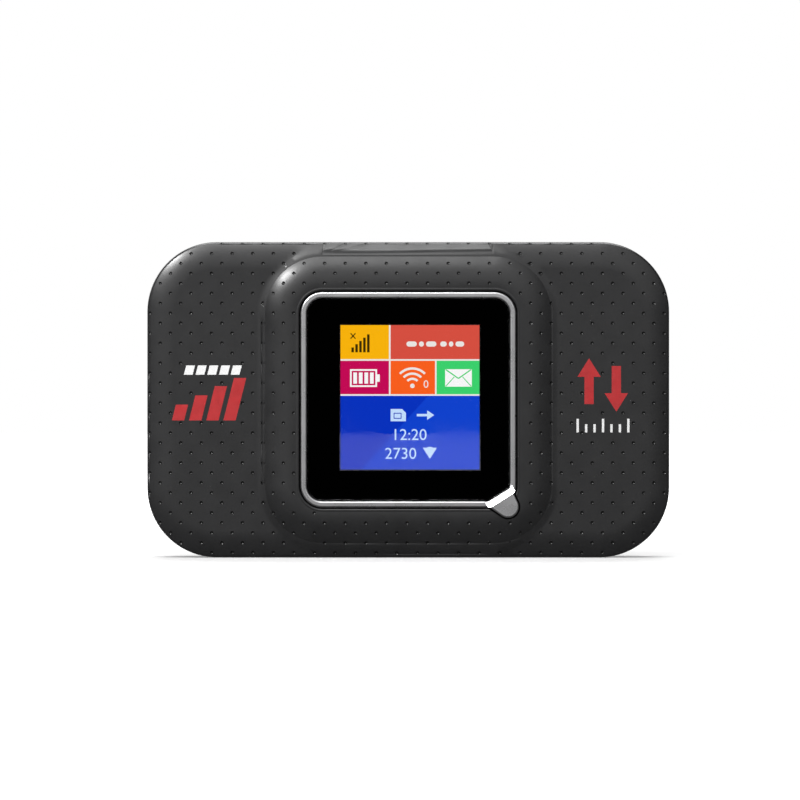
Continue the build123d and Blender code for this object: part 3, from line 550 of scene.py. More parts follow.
def front_shell(materials):
    """The front housing with its crowned edge, its dome, its recess and its dimples."""
    edge = front_edge()
    skin_y = FACE - SKIN_PROUD
    block = skin_block("front_shell", front_field, skin_y, edge, -1, FRONT_SEAM - SKIN_PROUD, True)
    inner = rounded_loop(HALF_W - SKIN_WALL, HALF_H - SKIN_WALL, CORNER_R - SKIN_WALL, 1.0)
    boolean(block, prism("cavity", inner, CAVITY, FRONT_SEAM + 1), "DIFFERENCE")
    recess = shrunk(shelf_outline(), SKIN_PROUD)
    boolean(block, prism("recess", recess, RING_FRONT - 1, FRONT_SEAM), "DIFFERENCE")
    core = welded_copy("front_housing", "front_core")
    reach = rounded_loop(HALF_W - CORE_INSET, HALF_H - CORE_INSET, CORNER_R - CORE_INSET, 1.0)
    boolean(core, prism("core_reach", reach, SHELF - CORE_OVERLAP, BACK), "INTERSECT")
    boolean(block, core, "UNION")
    with_slots(block, materials)
    cutter = dimple_cutter("front_dimples", front_dimple_places(), front_field, skin_y, -1)
    boolean(block, with_slots(cutter, materials, 1), "DIFFERENCE")
    return shade_skin(block, front_field)


def back_shell(materials):
    """The rear cover with its rolled edge, its notch for a fingernail and its dimples."""
    skin_y = BACK + SKIN_PROUD
    block = skin_block("back_shell", back_field, skin_y, back_edge(), 1, REAR_SEAM + SKIN_PROUD, False)
    inner = rounded_loop(HALF_W - SKIN_WALL, HALF_H - SKIN_WALL, CORNER_R - SKIN_WALL, 1.0)
    boolean(block, prism("cavity", inner, REAR_SEAM - 1, BACK - SKIN_WALL), "DIFFERENCE")
    reach = PRY_W / 2 - SKIN_PROUD
    notch = [(-HALF_W - 1, MID_Z - reach), (1 - HALF_W, MID_Z - reach)]
    notch += [(1 - HALF_W, MID_Z + reach), (-HALF_W - 1, MID_Z + reach)]
    boolean(block, prism("notch", notch, REAR_SEAM - 1, REAR_SEAM + PRY_H - SKIN_PROUD), "DIFFERENCE")
    boolean(block, welded_copy("rear_cover", "back_core"), "UNION")
    with_slots(block, materials)
    cutter = dimple_cutter("back_dimples", dimple_places(), back_field, skin_y, 1)
    boolean(block, with_slots(cutter, materials, 1), "DIFFERENCE")
    return shade_skin(block, back_field)


# Materials


def linear(*levels):
    """Scene colour of a screen colour given as red, green and blue from 0 to 255."""
    parts = [c / 255 for c in levels]
    return tuple(c / 12.92 if c <= 0.04045 else ((c + 0.055) / 1.055) ** 2.4 for c in parts)


def shader(name):
    """New material, its node tree and its surface shader."""
    material = bpy.data.materials.new(name)
    material.use_nodes = True
    tree = material.node_tree
    return material, tree, tree.nodes["Principled BSDF"]


def object_noise(tree, size, stretch=(1, 1, 1), detail=3.0):
    """Noise whose blobs are about one size across, in millimetres, stretched along an axis."""
    place = tree.nodes.new("ShaderNodeTexCoord")
    mapping = tree.nodes.new("ShaderNodeMapping")
    mapping.inputs["Scale"].default_value = [1 / s for s in stretch]
    noise = tree.nodes.new("ShaderNodeTexNoise")
    noise.inputs["Scale"].default_value = 1 / (size * MM)
    noise.inputs["Detail"].default_value = detail
    tree.links.new(place.outputs["Object"], mapping.inputs["Vector"])
    tree.links.new(mapping.outputs["Vector"], noise.inputs["Vector"])
    return noise.outputs["Fac"]


def ramp(tree, factor, stops):
    """Colours blended by a factor; each stop is its place and its colour."""
    node = tree.nodes.new("ShaderNodeValToRGB")
    elements = node.color_ramp.elements
    while len(elements) < len(stops):
        elements.new(0.5)
    for element, (place, colour) in zip(elements, stops):
        element.position = place
        element.color = (*colour, 1.0)
    tree.links.new(factor, node.inputs["Fac"])
    return node.outputs["Color"]


def spread(tree, factor, low, high):
    """Factor mapped from its usual middle range to a range of values."""
    node = tree.nodes.new("ShaderNodeMapRange")
    node.inputs["From Min"].default_value = 0.3
    node.inputs["From Max"].default_value = 0.7
    node.inputs["To Min"].default_value = low
    node.inputs["To Max"].default_value = high
    tree.links.new(factor, node.inputs["Value"])
    return node.outputs["Result"]


def relief(tree, surface, height, depth, strength=1.0):
    """Bump of a height pattern, its depth in millimetres."""
    node = tree.nodes.new("ShaderNodeBump")
    node.inputs["Strength"].default_value = strength
    node.inputs["Distance"].default_value = depth * MM
    tree.links.new(height, node.inputs["Height"])
    tree.links.new(node.outputs["Normal"], surface.inputs["Normal"])


def finish(
    name,
    colour,
    roughness,
    metallic=0.0,
    mottle=0.12,
    mottle_size=5.0,
    rough_spread=0.05,
    grain=0.15,
    grain_size=0.12,
    grain_depth=0.01,
    stretch=(1, 1, 1),
    specular=0.5,
):
    """Surface with a slightly uneven colour and gloss and a fine grain."""
    material, tree, surface = shader(name)
    surface.inputs["Metallic"].default_value = metallic
    surface.inputs["Specular IOR Level"].default_value = specular
    patches = object_noise(tree, mottle_size, stretch)
    darker = tuple(c * (1 - mottle) for c in colour)
    lighter = tuple(min(1.0, c * (1 + mottle)) for c in colour)
    tree.links.new(ramp(tree, patches, [(0.3, darker), (0.7, lighter)]), surface.inputs["Base Color"])
    wear = object_noise(tree, mottle_size * 0.6, stretch)
    tree.links.new(
        spread(tree, wear, roughness - rough_spread, roughness + rough_spread), surface.inputs["Roughness"]
    )
    if grain:
        relief(tree, surface, object_noise(tree, grain_size, stretch), grain_depth, grain)
    return material


def clear_lens():
    """Clear polished window, faintly marked by handling."""
    material, tree, surface = shader("clear_lens")
    surface.inputs["Base Color"].default_value = (1.0, 1.0, 1.0, 1.0)
    surface.inputs["Transmission Weight"].default_value = 1.0
    surface.inputs["IOR"].default_value = 1.49
    smears = object_noise(tree, 9.0, (1.6, 1, 1))
    tree.links.new(spread(tree, smears, 0.0, 0.035), surface.inputs["Roughness"])
    return material


def lit(name, colour, strength=1.08, pixel=0.2):
    """Colour of the lit display, with the fine lattice of its pixels."""
    material, tree, surface = shader(name)
    surface.inputs["Base Color"].default_value = (0.0, 0.0, 0.0, 1.0)
    surface.inputs["Roughness"].default_value = 0.5
    surface.inputs["Specular IOR Level"].default_value = 0.0
    place = tree.nodes.new("ShaderNodeTexCoord")
    turned = tree.nodes.new("ShaderNodeMapping")
    turned.inputs["Rotation"].default_value = (math.pi / 2, 0, 0)
    brick = tree.nodes.new("ShaderNodeTexBrick")
    brick.offset = 0.0
    brick.inputs["Scale"].default_value = 1 / (pixel * MM)
    brick.inputs["Brick Width"].default_value = 1.0
    brick.inputs["Row Height"].default_value = 1.0
    brick.inputs["Mortar Size"].default_value = 0.06
    brick.inputs["Color1"].default_value = (*colour, 1.0)
    brick.inputs["Color2"].default_value = (*(c * 0.97 for c in colour), 1.0)
    brick.inputs["Mortar"].default_value = (*(c * 0.9 for c in colour), 1.0)
    tree.links.new(place.outputs["Object"], turned.inputs["Vector"])
    tree.links.new(turned.outputs["Vector"], brick.inputs["Vector"])
    tree.links.new(brick.outputs["Color"], surface.inputs["Emission Color"])
    surface.inputs["Emission Strength"].default_value = strength
    return material


def circuit_board():
    """Green solder mask with paler copper tracks under it."""
    material, tree, surface = shader("circuit_board")
    place = tree.nodes.new("ShaderNodeTexCoord")
    cells = tree.nodes.new("ShaderNodeTexVoronoi")
    cells.feature = "DISTANCE_TO_EDGE"
    cells.inputs["Scale"].default_value = 1 / (2.2 * MM)
    tree.links.new(place.outputs["Object"], cells.inputs["Vector"])
    mask = linear(16, 70, 42)
    track = linear(36, 112, 66)
    tracks = ramp(tree, cells.outputs["Distance"], [(0.03, track), (0.08, mask)])
    tree.links.new(tracks, surface.inputs["Base Color"])
    surface.inputs["Roughness"].default_value = 0.32
    relief(tree, surface, cells.outputs["Distance"], 0.02, 0.4)
    return material


def foam_sheet():
    """Open-cell foam, dull and full of small pores."""
    material, tree, surface = shader("foam_sheet")
    place = tree.nodes.new("ShaderNodeTexCoord")
    pores = tree.nodes.new("ShaderNodeTexVoronoi")
    pores.inputs["Scale"].default_value = 1 / (0.5 * MM)
    tree.links.new(place.outputs["Object"], pores.inputs["Vector"])
    shades = [(0.1, (0.012, 0.012, 0.013)), (0.6, (0.05, 0.05, 0.052))]
    tree.links.new(ramp(tree, pores.outputs["Distance"], shades), surface.inputs["Base Color"])
    surface.inputs["Roughness"].default_value = 0.95
    relief(tree, surface, pores.outputs["Distance"], 0.15, 0.8)
    return material


CASING = (0.012, 0.012, 0.0125)
BRUSHED_X = (14, 1, 1)
BRUSHED_Z = (1, 1, 14)



def moulded_plastic(name, roughness):
    """Charcoal plastic of the casing, with the fine texture of its mould."""
    return finish(name, CASING, roughness, mottle=0.1, rough_spread=0.03, grain=0.35, grain_size=0.09)


moulded = moulded_plastic("moulded_charcoal", 0.32)
pit = finish("dimple_shadow", (0.006, 0.006, 0.006), 0.34, specular=0.4)
finishes = {
    "casing": moulded,
    "casing_band": moulded_plastic("moulded_band", 0.36),
    "key_plastic": finish("key_plastic", (0.02, 0.02, 0.021), 0.3, grain=0.2, grain_size=0.07),
    "satin_silver": finish(
        "satin_silver", (0.72, 0.72, 0.73), 0.28, 1.0, mottle=0.03, mottle_size=6.0, rough_spread=0.02, grain=0
    ),
    "lens": clear_lens(),
    "black_ink": finish("black_ink", (0.0012, 0.0012, 0.0012), 0.7, specular=0.05, grain=0.1),
    "tape": finish("tape", (0.03, 0.03, 0.03), 0.6, grain=0.2, grain_size=0.4),
    "foam": foam_sheet(),
    "steel": finish("pressed_steel", (0.56, 0.55, 0.53), 0.3, 1.0, stretch=BRUSHED_X, grain_size=0.05),
    "tin": finish(
        "tinned_shield", (0.62, 0.63, 0.64), 0.36, 1.0, mottle=0.07, mottle_size=1.6, grain_size=0.3
    ),
    "screw_steel": finish("screw_steel", (0.42, 0.41, 0.4), 0.34, 1.0, mottle=0.15, mottle_size=0.6),
    "gold": finish(
        "gold_contact", (0.94, 0.66, 0.28), 0.26, 1.0, mottle=0.06, mottle_size=0.8, grain_size=0.04
    ),
    "antenna_metal": finish("antenna_metal", (0.78, 0.62, 0.36), 0.34, 1.0, stretch=BRUSHED_Z),
    "board": circuit_board(),
    "chip_black": finish("chip_black", (0.02, 0.02, 0.022), 0.55, grain=0.4, grain_size=0.08),
    "socket_plastic": finish("socket_plastic", (0.012, 0.012, 0.012), 0.45, grain=0.2),
    "switch_body": finish("switch_body", (0.07, 0.07, 0.075), 0.5, grain=0.2),
    "plunger": finish("plunger", (0.62, 0.6, 0.55), 0.45, grain=0.2),
    "flex_film": finish("flex_film", linear(168, 104, 40), 0.35, stretch=BRUSHED_Z, grain_size=0.3),
    "diffuser": finish("diffuser", (0.8, 0.8, 0.78), 0.6, mottle=0.02, grain=0.1),
    "battery_wrap": finish("battery_wrap", linear(58, 60, 64), 0.38, mottle=0.08, grain=0.1, grain_size=0.3),
    "battery_cap": finish("battery_cap", (0.02, 0.02, 0.02), 0.5, grain=0.3),
    "label_white": finish(
        "label_paper", (0.74, 0.74, 0.72), 0.55, mottle=0.03, mottle_size=0.8, grain_size=0.2
    ),
    "label_grey": finish("label_foil", linear(196, 199, 203), 0.42, 0.3, mottle=0.04, stretch=BRUSHED_X),
    "screen": finish("display_glass", (0.002, 0.002, 0.003), 0.2, specular=0.2, grain=0),
}
print_red = finish("red_print", linear(150, 24, 28), 0.36, mottle=0.08, mottle_size=1.5, grain_size=0.08)
print_white = finish("white_print", linear(196, 196, 196), 0.4, mottle=0.04, mottle_size=1.0, grain_size=0.08)
label_ink = finish("label_ink", (0.01, 0.01, 0.012), 0.5, mottle=0.3, mottle_size=0.6)


# Marks printed on the casing, as outlines in X and Z


def bar(x, z, width, height, slant=0.0):
    """Upright bar from its lower left corner; its top leans over by the slant."""
    return [(x, z), (x + width, z), (x + width + slant, z + height), (x + slant, z + height)]


def arrow_mark(x, z, height, facing):
    """Broad upright arrow round a point."""
    head, half_head, half_shaft = 3.4, 2.15, 0.85
    tip, foot = z + facing * height / 2, z - facing * height / 2
    neck = tip - facing * head
    return [
        (x - half_shaft, foot),
        (x + half_shaft, foot),
        (x + half_shaft, neck),
        (x + half_head, neck),
        (x, tip),
        (x - half_head, neck),
        (x - half_shaft, neck),
    ]


LEAN = math.tan(math.radians(14))
PRINTS = {
    "left_red": [bar(-43.4 + 3.15 * i, 25.2, 2.25, h, h * LEAN) for i, h in enumerate((2.9, 4.6, 6.3, 7.8))],
    "left_white": [bar(-41.2 + 2.15 * i, 33.6, 1.6, 1.7, 1.7 * LEAN) for i in range(5)],
    "right_red": [arrow_mark(33.2, 32.4, 8.4, 1), arrow_mark(38.2, 31.0, 8.4, -1)],
    "right_white": [bar(30.9 + 1.55 * i, 23.0, 0.42, 1.5 if i % 3 else 2.5) for i in range(7)],
}


# Casing pieces


def place(piece, body, slot=None, *nodes):
    """Puts a piece on its body and hides the CAD nodes it stands for. The finish it takes, the slot, is not
    used.
    """
    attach(piece, body)
    if nodes:
        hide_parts(*nodes)
    return piece


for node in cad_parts.values():
    for material_slot in node.material_slots:
        material_slot.material = finishes[material_slot.material.name.split(".")[0]]

place(front_shell([moulded, pit]), "root", "casing", "front_housing")
place(back_shell([moulded, pit]), "rear_cover", "casing", "rear_cover")


def soften(node, width):
    """Tiny round on the edges of a CAD node, so that they catch the light."""
    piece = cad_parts[node]
    weld = piece.modifiers.new("weld", "WELD")
    weld.merge_threshold = 0.002 * MM
    bevel = piece.modifiers.new("bevel", "BEVEL")
    bevel.width = width * MM
    bevel.segments = 3
    bevel.limit_method = "ANGLE"
    bevel.angle_limit = math.radians(32)
    bevel.harden_normals = True


for softened, edge in EDGE_ROUNDS.items():
    soften(softened, edge)


# Flat printed and lit shapes


def joined(name, parts, material, body, slot=None):
    """One piece out of several closed parts."""
    builder = bmesh.new()
    for part in parts:
        builder.from_mesh(part.data)
        bpy.data.objects.remove(part)
    mesh = bpy.data.meshes.new(name)
    builder.to_mesh(mesh)
    builder.free()
    mesh.materials.append(material)
    return place(link(name, mesh), body, slot)


def plates(name, outlines, depths, material, body="root", slot=None):
    """Thin closed plates of outlines drawn in X and Z, as one piece."""
    return joined(name, [prism(name, shape, *depths) for shape in outlines], material, body, slot)


def round_bar(x, z, width, height):
    """Bar with half-round ends, from its lower left corner."""
    radius = min(width, height) / 2
    centres = [(x + width - radius, z + height - radius), (x + radius, z + height - radius)]
    centres += [(x + radius, z + radius), (x + width - radius, z + radius)]
    return [
        (cx + radius * math.cos(turn), cz + radius * math.sin(turn))
        for quarter, (cx, cz) in enumerate(centres)
        for turn in (quarter + np.linspace(0.02, 0.98, 7)) * math.pi / 2
    ]


def band(x, z, inner, outer, start, end):
    """Part of a ring round a point, between two bearings in degrees."""
    turns = np.radians(np.linspace(start, end, max(6, int(abs(end - start) / 6))))
    far = [(x + outer * math.cos(t), z + outer * math.sin(t)) for t in turns]
    near = [(x + inner * math.cos(t), z + inner * math.sin(t)) for t in reversed(turns)]
    return far + near


def stroke(start, end, width):
    """Straight line of a width between two points."""
    (x0, z0), (x1, z1) = start, end
    length = math.hypot(x1 - x0, z1 - z0)
    across = (-(z1 - z0) / length * width / 2, (x1 - x0) / length * width / 2)
    return [
        (x0 + across[0], z0 + across[1]),
        (x0 - across[0], z0 - across[1]),
        (x1 - across[0], z1 - across[1]),
        (x1 + across[0], z1 + across[1]),
    ]


def frame_bars(x, z, width, height, line):
    """Four bars round a rectangle."""
    return [
        bar(x, z, width, line),
        bar(x, z + height - line, width, line),
        bar(x, z + line, line, height - 2 * line),
        bar(x + width - line, z + line, line, height - 2 * line),
    ]


def figures(name, text, x, z, height, depths, material):
    """Numerals drawn upright from a left end and a base line."""
    curve = bpy.data.curves.new(name, "FONT")
    curve.body = text
    curve.size = height / FIGURE_SHARE
    curve.extrude = (depths[1] - depths[0]) / 2
    curve.resolution_u = 4
    drawn = link(name, curve)
    mesh = evaluated(drawn)
    bpy.data.objects.remove(drawn)
    builder = bmesh.new()
    builder.from_mesh(mesh)
    bmesh.ops.remove_doubles(builder, verts=builder.verts, dist=1e-5)
    middle = sum(depths) / 2
    for vert in builder.verts:
        across, up, out = vert.co
        vert.co = Vector((x + across, middle - out, z + up)) * MM
    builder.to_mesh(mesh)
    builder.free()
    return joined(name, [link(name, mesh)], material, "root", "screen")


# Picture on the display, drawn from the lower left corner of its lit area

ACTIVE_W = 25.5
ACTIVE_H = 26.5
ACTIVE_LEFT = 0.31 - ACTIVE_W / 2
ACTIVE_LOW = MID_Z + 0.45 - ACTIVE_H / 2
GLASS_FRONT = node_box("lcd_glass")[0][1]
LINE_LAYER = (GLASS_FRONT - 0.015, GLASS_FRONT + 0.02)
TILE_LAYER = (GLASS_FRONT - 0.03, GLASS_FRONT - 0.01)
ICON_LAYER = (GLASS_FRONT - 0.045, GLASS_FRONT - 0.025)
DETAIL_LAYER = (ICON_LAYER[0] - 0.012, ICON_LAYER[0] + 0.008)
LINE_W = 0.3
COLUMNS = (9.04, 17.49)
ROWS = (13.67, 20.1)


def shown(shape):
    """Outline moved from the picture's own corner to its place on the device."""
    return [(ACTIVE_LEFT + x, ACTIVE_LOW + z) for x, z in shape]


def icon(name, shapes, material, layer=ICON_LAYER):
    return plates(name, [shown(shape) for shape in shapes], layer, material, "root", "screen")


def tile(name, x, z, width, height, material):
    """Coloured field between the pale lines of the picture."""
    return icon(name, [bar(x, z, width, height)], material, TILE_LAYER)


amber = lit("display_amber", linear(250, 180, 12))
coral = lit("display_coral", linear(215, 80, 65))
magenta = lit("display_magenta", linear(196, 10, 85))
orange = lit("display_orange", linear(250, 95, 30))
green = lit("display_green", linear(60, 210, 110))
deep_blue = lit("display_deep_blue", linear(8, 50, 190))
# Brighter blue that paints a reflection of glare over the right side of the display's lower field
painted_glare_blue = lit("display_painted_glare", linear(16, 66, 206))
pale = lit("display_pale", linear(236, 232, 228))
white = lit("display_white", linear(250, 250, 250))
ice = lit("display_ice", linear(196, 222, 255))
umber = lit("display_umber", linear(58, 44, 6))

icon("picture_lines", [bar(0, 0, ACTIVE_W, ACTIVE_H)], pale, LINE_LAYER)

half_line = LINE_W / 2
middle_low, middle_h = ROWS[0] + half_line, ROWS[1] - ROWS[0] - LINE_W
top_low, top_h = ROWS[1] + half_line, ACTIVE_H - ROWS[1] - half_line
right_w = ACTIVE_W - COLUMNS[1] - half_line
tile("signal_tile", 0, top_low, COLUMNS[0] - half_line, top_h, amber)
tile("status_tile", COLUMNS[0] + half_line, top_low, ACTIVE_W - COLUMNS[0] - half_line, top_h, coral)
tile("battery_tile", 0, middle_low, COLUMNS[0] - half_line, middle_h, magenta)
middle_w = COLUMNS[1] - COLUMNS[0] - LINE_W
tile("wireless_tile", COLUMNS[0] + half_line, middle_low, middle_w, middle_h, orange)
tile("message_tile", COLUMNS[1] + half_line, middle_low, right_w, middle_h, green)

# Lower field, with a painted reflection: a lighter sweep across its right side, in a brighter blue, stands for
# glare on the display glass
field_top = ROWS[0] - half_line
glare_low, glare_top = 3.8, 16.1
dark_field = [(0, 0), (glare_low, 0), (glare_top, field_top), (0, field_top)]
# Part of the lower field in the brighter blue: painted glare, not a colour of the picture
painted_glare_field = [(glare_low, 0), (ACTIVE_W, 0), (ACTIVE_W, field_top), (glare_top, field_top)]
icon("dark_field", [dark_field], deep_blue, TILE_LAYER)
icon("painted_glare_field", [painted_glare_field], painted_glare_blue, TILE_LAYER)

# Signal strength: five rising bars and a small cross
signal_bars = [bar(2.0 + 0.72 * i, 21.5, 0.46, 0.9 + 0.6 * i) for i in range(5)]
cross = [stroke((1.85, 24.0), (2.75, 25.0), 0.2), stroke((1.85, 25.0), (2.75, 24.0), 0.2)]
icon("signal_icon", signal_bars + cross, umber)

# Status line: a plug of short bars where the device shows a caption
status_bars = [(12.1, 1.9), (14.4, 0.9), (15.7, 1.9), (18.3, 1.2), (19.9, 0.8), (21.1, 1.6)]
icon("status_icon", [round_bar(x, 22.55, width, 0.95) for x, width in status_bars], pale)

# Battery with four bars
cell = frame_bars(1.75, 15.15, 4.95, 3.25, 0.3)
cell += [bar(6.7, 16.1, 0.5, 1.35)]
cell += [bar(2.35 + 1.02 * i, 15.75, 0.68, 2.05) for i in range(4)]
icon("battery_icon", cell, white)

# Wireless arcs over a dot
ARC_X, ARC_Z = 13.2, 15.35
arcs = [band(ARC_X, ARC_Z, outer - 0.42, outer, 44, 136) for outer in (1.5, 2.45, 3.4)]
arcs += [band(ARC_X, ARC_Z, 0.001, 0.42, 0, 354)]
icon("wireless_icon", arcs, pale)

# Envelope
flap = [stroke((21.65 + side * 2.35, 18.35), (21.65, 16.7), 0.22) for side in (-1, 1)]
flap += [stroke((21.65 + side * 2.35, 15.25), (21.65 + side * 0.75, 17.0), 0.16) for side in (-1, 1)]
icon("message_icon", [bar(19.2, 15.2, 4.9, 3.2)], white)
icon("message_flap", flap, green, DETAIL_LAYER)

# Card symbol and arrow, clock, and a counter with its arrow
card = [(9.2, 8.85), (12.0, 8.85), (12.0, 10.4), (11.3, 11.1), (9.2, 11.1)]
arrow = [(14.0, 9.75), (15.9, 9.75), (15.9, 9.1), (17.2, 9.98), (15.9, 10.86), (15.9, 10.2), (14.0, 10.2)]
icon("card_icon", [card, arrow], ice)
icon("card_chip", frame_bars(9.75, 9.3, 1.45, 1.1, 0.16), deep_blue, DETAIL_LAYER)
FIGURE_H = 2.15
figures("clock_figures", "12:20", ACTIVE_LEFT + 9.35, ACTIVE_LOW + 5.4, FIGURE_H, ICON_LAYER, ice)
figures("counter_figures", "2730", ACTIVE_LEFT + 8.1, ACTIVE_LOW + 1.95, FIGURE_H, ICON_LAYER, ice)
figures("wireless_count", "0", ACTIVE_LEFT + 15.2, ACTIVE_LOW + 15.0, 1.45, ICON_LAYER, pale)
down = [(16.0, 4.0), (15.1, 4.0), (16.4, 1.95), (17.7, 4.0), (16.8, 4.0), (16.8, 4.15), (16.0, 4.15)]
icon("counter_icon", [down], ice)


# Printed marks on the casing

PRINT_LAYER = (FACE - SKIN_PROUD - 0.012, FACE - SKIN_PROUD + 0.004)
plates("left_print_red", PRINTS["left_red"], PRINT_LAYER, print_red)
plates("left_print_white", PRINTS["left_white"], PRINT_LAYER, print_white)
plates("right_print_red", PRINTS["right_red"], PRINT_LAYER, print_red)
plates("right_print_white", PRINTS["right_white"], PRINT_LAYER, print_white)


# Printed labels in the battery bay and on the battery


ROW_SHARE = (0.7, 1.0)
WORD_W = (0.6, 2.4)
WORD_GAP = 0.35
WORD_OVERRUN = 0.2
INK_SINK = 0.01
INK_PROUD = 0.012


def text_rows(x, z, width, rows, line, pitch, rng):
    """Rows of short bars that stand for small print."""
    bars = []
    for row in range(rows):
        at = x
        end = x + width * rng.uniform(*ROW_SHARE)
        while at < end:
            length = rng.uniform(*WORD_W)
            bars.append(bar(at, z - row * pitch, min(length, end - at + WORD_OVERRUN), line))
            at += length + WORD_GAP
    return bars


rng = np.random.default_rng(7)
label_low, label_high = node_box("info_label")
LABEL_INK = (label_high[1] - INK_SINK, label_high[1] + INK_PROUD)
code_bars = []
at = label_low[0] + 2
while at < label_high[0] - 2.4:
    wide = rng.choice((0.18, 0.3, 0.5))
    code_bars.append(bar(at, label_low[2] + 2.5, wide, 4.2))
    at += wide + rng.choice((0.2, 0.34))
rows = text_rows(label_low[0] + 2, label_high[2] - 3.6, 18.5, 9, 0.62, 1.5, rng)
squares = [
    bar(label_low[0] + 2.2 + 0.62 * i, label_low[2] + 9.2 + 0.62 * j, 0.6, 0.6)
    for i in range(9)
    for j in range(9)
    if rng.random() < 0.5
]
plates("info_label_print", code_bars + rows + squares, LABEL_INK, label_ink, "root", "chip_black")

cell_low, cell_high = node_box("battery_label")
CELL_INK = (cell_high[1] - INK_SINK, cell_high[1] + INK_PROUD)
cell_print = text_rows(cell_low[0] + 3, cell_high[2] - 13.5, 28, 9, 0.7, 1.75, rng)
cell_print += text_rows(cell_low[0] + 3, cell_high[2] - 4.6, 19, 1, 1.9, 3.0, rng)
cell_print += [bar(cell_low[0] + 3, cell_high[2] - 9.0, 41, 0.25)]
cell_print += [bar(cell_high[0] - 4.2, MID_Z + 5.2, 2.2, 0.5), bar(cell_high[0] - 3.35, MID_Z + 4.35, 0.5, 2.2)]
cell_print += [bar(cell_high[0] - 4.2, MID_Z - 5.7, 2.2, 0.5)]
plates("battery_label_print", cell_print, CELL_INK, label_ink, "battery", "chip_black")
battery_stripe = [bar(cell_low[0], cell_low[2] + 1.2, cell_high[0] - cell_low[0], 2.4)]
plates("battery_label_stripe", battery_stripe, CELL_INK, finishes["battery_wrap"], "battery", "battery_wrap")


# Floor, light and camera

# Reaches over the floor are metres
FLOOR_REACH = 3.0
FLOOR_GAP = 0.06
floor_mesh = bpy.data.meshes.new("floor")
corners = [(-FLOOR_REACH, -FLOOR_REACH, 0), (FLOOR_REACH, -FLOOR_REACH, 0)]
corners += [(FLOOR_REACH, FLOOR_REACH, 0), (-FLOOR_REACH, FLOOR_REACH, 0)]
floor_mesh.from_pydata(corners, [], [(0, 1, 2, 3)])
floor = link("floor", floor_mesh)
floor.location.z = (BODY_LOW[2] - FLOOR_GAP) * MM
floor.visible_glossy = False


def studio_floor():
    """White paper that glows a little, more so away from the middle of the set."""
    material, tree, surface = shader("studio_floor")
    surface.inputs["Base Color"].default_value = (0.85, 0.85, 0.85, 1.0)
    surface.inputs["Roughness"].default_value = 0.9
    surface.inputs["Specular IOR Level"].default_value = 0.0
    surface.inputs["Emission Color"].default_value = (1.0, 1.0, 1.0, 1.0)
    where = tree.nodes.new("ShaderNodeTexCoord")
    length = tree.nodes.new("ShaderNodeVectorMath")
    length.operation = "LENGTH"
    tree.links.new(where.outputs["Object"], length.inputs[0])
    glow = tree.nodes.new("ShaderNodeMapRange")
    glow.interpolation_type = "SMOOTHSTEP"
    glow.inputs["From Min"].default_value = FLOOR_DIM_REACH
    glow.inputs["From Max"].default_value = FLOOR_GLOW_REACH
    glow.inputs["To Min"].default_value = FLOOR_GLOW
    glow.inputs["To Max"].default_value = 1.0
    tree.links.new(length.outputs["Value"], glow.inputs["Value"])
    tree.links.new(glow.outputs["Result"], surface.inputs["Emission Strength"])
    return material


FLOOR_GLOW = 0.3
FLOOR_DIM_REACH = 0.1
FLOOR_GLOW_REACH = 0.6
floor.data.materials.append(studio_floor())


def bearing_share(tree, direction, low, high):
    """How far a direction of view turns towards another, eased from 0 to 1 between two cosines."""
    place = tree.nodes.new("ShaderNodeTexCoord")
    facing = tree.nodes.new("ShaderNodeVectorMath")
    facing.operation = "DOT_PRODUCT"
    facing.inputs[1].default_value = Vector(direction).normalized()
    tree.links.new(place.outputs["Generated"], facing.inputs[0])
    share = tree.nodes.new("ShaderNodeMapRange")
    share.interpolation_type = "SMOOTHSTEP"
    share.inputs["From Min"].default_value = low
    share.inputs["From Max"].default_value = high
    tree.links.new(facing.outputs["Value"], share.inputs["Value"])
    return share


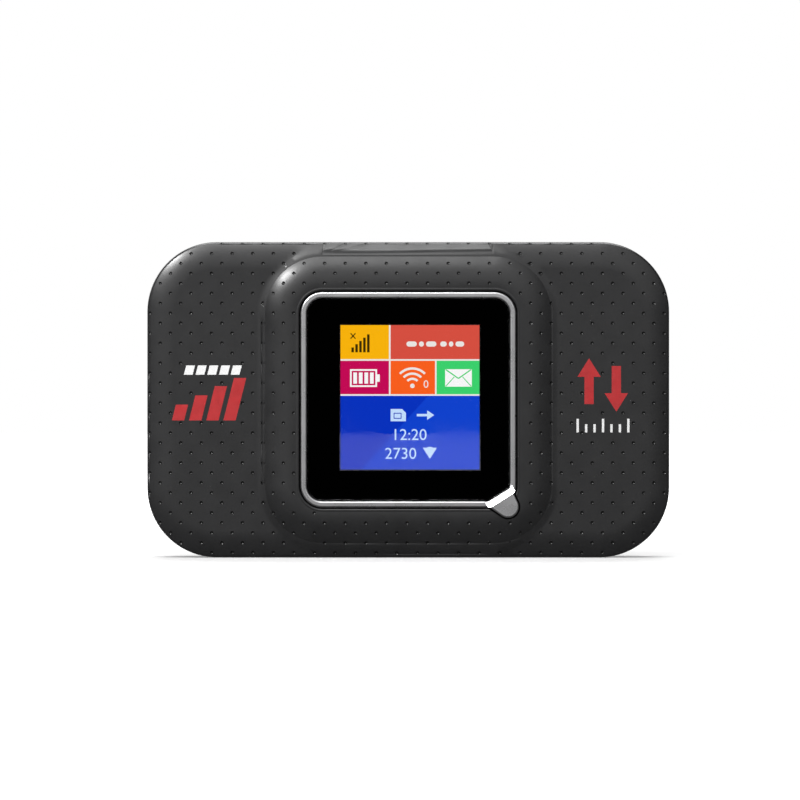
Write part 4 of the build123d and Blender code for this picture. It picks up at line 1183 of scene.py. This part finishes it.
def studio_world():
    """White to the camera; otherwise dim, brighter to the upper left and dark straight ahead."""
    world = bpy.data.worlds.new("studio")
    bpy.context.scene.world = world
    world.use_nodes = True
    tree = world.node_tree
    background = tree.nodes["Background"]
    background.inputs["Color"].default_value = (1.0, 1.0, 1.0, 1.0)
    glow = bearing_share(tree, GLOW_TOWARDS, *GLOW_COSINES)
    glow.inputs["To Min"].default_value = AMBIENT
    glow.inputs["To Max"].default_value = GLOW
    dark = bearing_share(tree, (0, -1, 0), *[math.cos(math.radians(angle)) for angle in DARK_ANGLES])
    dark.inputs["To Min"].default_value = 1.0
    dark.inputs["To Max"].default_value = DARKEST
    dimmed = tree.nodes.new("ShaderNodeMath")
    dimmed.operation = "MULTIPLY"
    tree.links.new(glow.outputs["Result"], dimmed.inputs[0])
    tree.links.new(dark.outputs["Result"], dimmed.inputs[1])
    rays = tree.nodes.new("ShaderNodeLightPath")
    mix = tree.nodes.new("ShaderNodeMix")
    mix.data_type = "FLOAT"
    mix.inputs["B"].default_value = 1.0
    tree.links.new(rays.outputs["Is Camera Ray"], mix.inputs["Factor"])
    tree.links.new(dimmed.outputs["Value"], mix.inputs["A"])
    tree.links.new(mix.outputs["Result"], background.inputs["Strength"])


AMBIENT = 0.07
GLOW = 0.95
GLOW_TOWARDS = (-0.08, -0.75, 0.6)
GLOW_COSINES = (0.58, 0.92)
DARK_ANGLES = (8, 3)
DARKEST = 0.01
studio_world()

# Point that the panels face, in metres, as are their distances and sizes
AIM = Vector((0.0, -0.005, 0.029))


def panel(name, bearing, elevation, distance, width, height, radiance):
    """Soft panel of a radiance, placed by its bearing from the front and aimed at the object."""
    lamp = bpy.data.lights.new(name, "AREA")
    lamp.shape = "RECTANGLE"
    lamp.size, lamp.size_y = width, height
    lamp.energy = radiance * math.pi * width * height
    lit_from = link(name, lamp)
    turn, rise = math.radians(bearing), math.radians(elevation)
    away = Vector((math.sin(turn) * math.cos(rise), -math.cos(turn) * math.cos(rise), math.sin(rise)))
    lit_from.location = AIM + away * distance
    lit_from.rotation_euler = away.to_track_quat("Z", "Y").to_euler()
    lit_from.visible_camera = False
    return lit_from


panel("overhead", -24, 57, 0.4, 0.3, 0.2, 4.0)
streak_key = panel("streak_key", -42, 35, 0.5, 0.025, 0.025, 1100.0)
panel("back_top", 180, 62, 0.8, 0.6, 0.4, 6.0)
panel("back_left", 215, 25, 0.8, 0.4, 0.5, 0.8)

# The streak light leaves the floor alone
unlit = bpy.data.collections.new("unlit_by_streak_key")
unlit.objects.link(floor)
unlit.collection_objects[0].light_linking.link_state = "EXCLUDE"
streak_key.light_linking.receiver_collection = unlit

# Width of the view at the casing's face, and the point it is centred on
FRAME_W = 146.9
CAMERA_X = -1.52
CAMERA_Z = MID_Z - 0.05
LENS = 200.0
SENSOR = 36.0
camera_data = bpy.data.cameras.new("camera")
camera_data.lens = LENS
camera_data.sensor_width = SENSOR
camera = link("camera", camera_data)
camera.location = Vector((CAMERA_X, FACE - FRAME_W * LENS / SENSOR, CAMERA_Z)) * MM
camera.rotation_euler = (math.pi / 2, 0, 0)
bpy.context.scene.camera = camera
bpy.context.scene.view_settings.view_transform = "Standard"
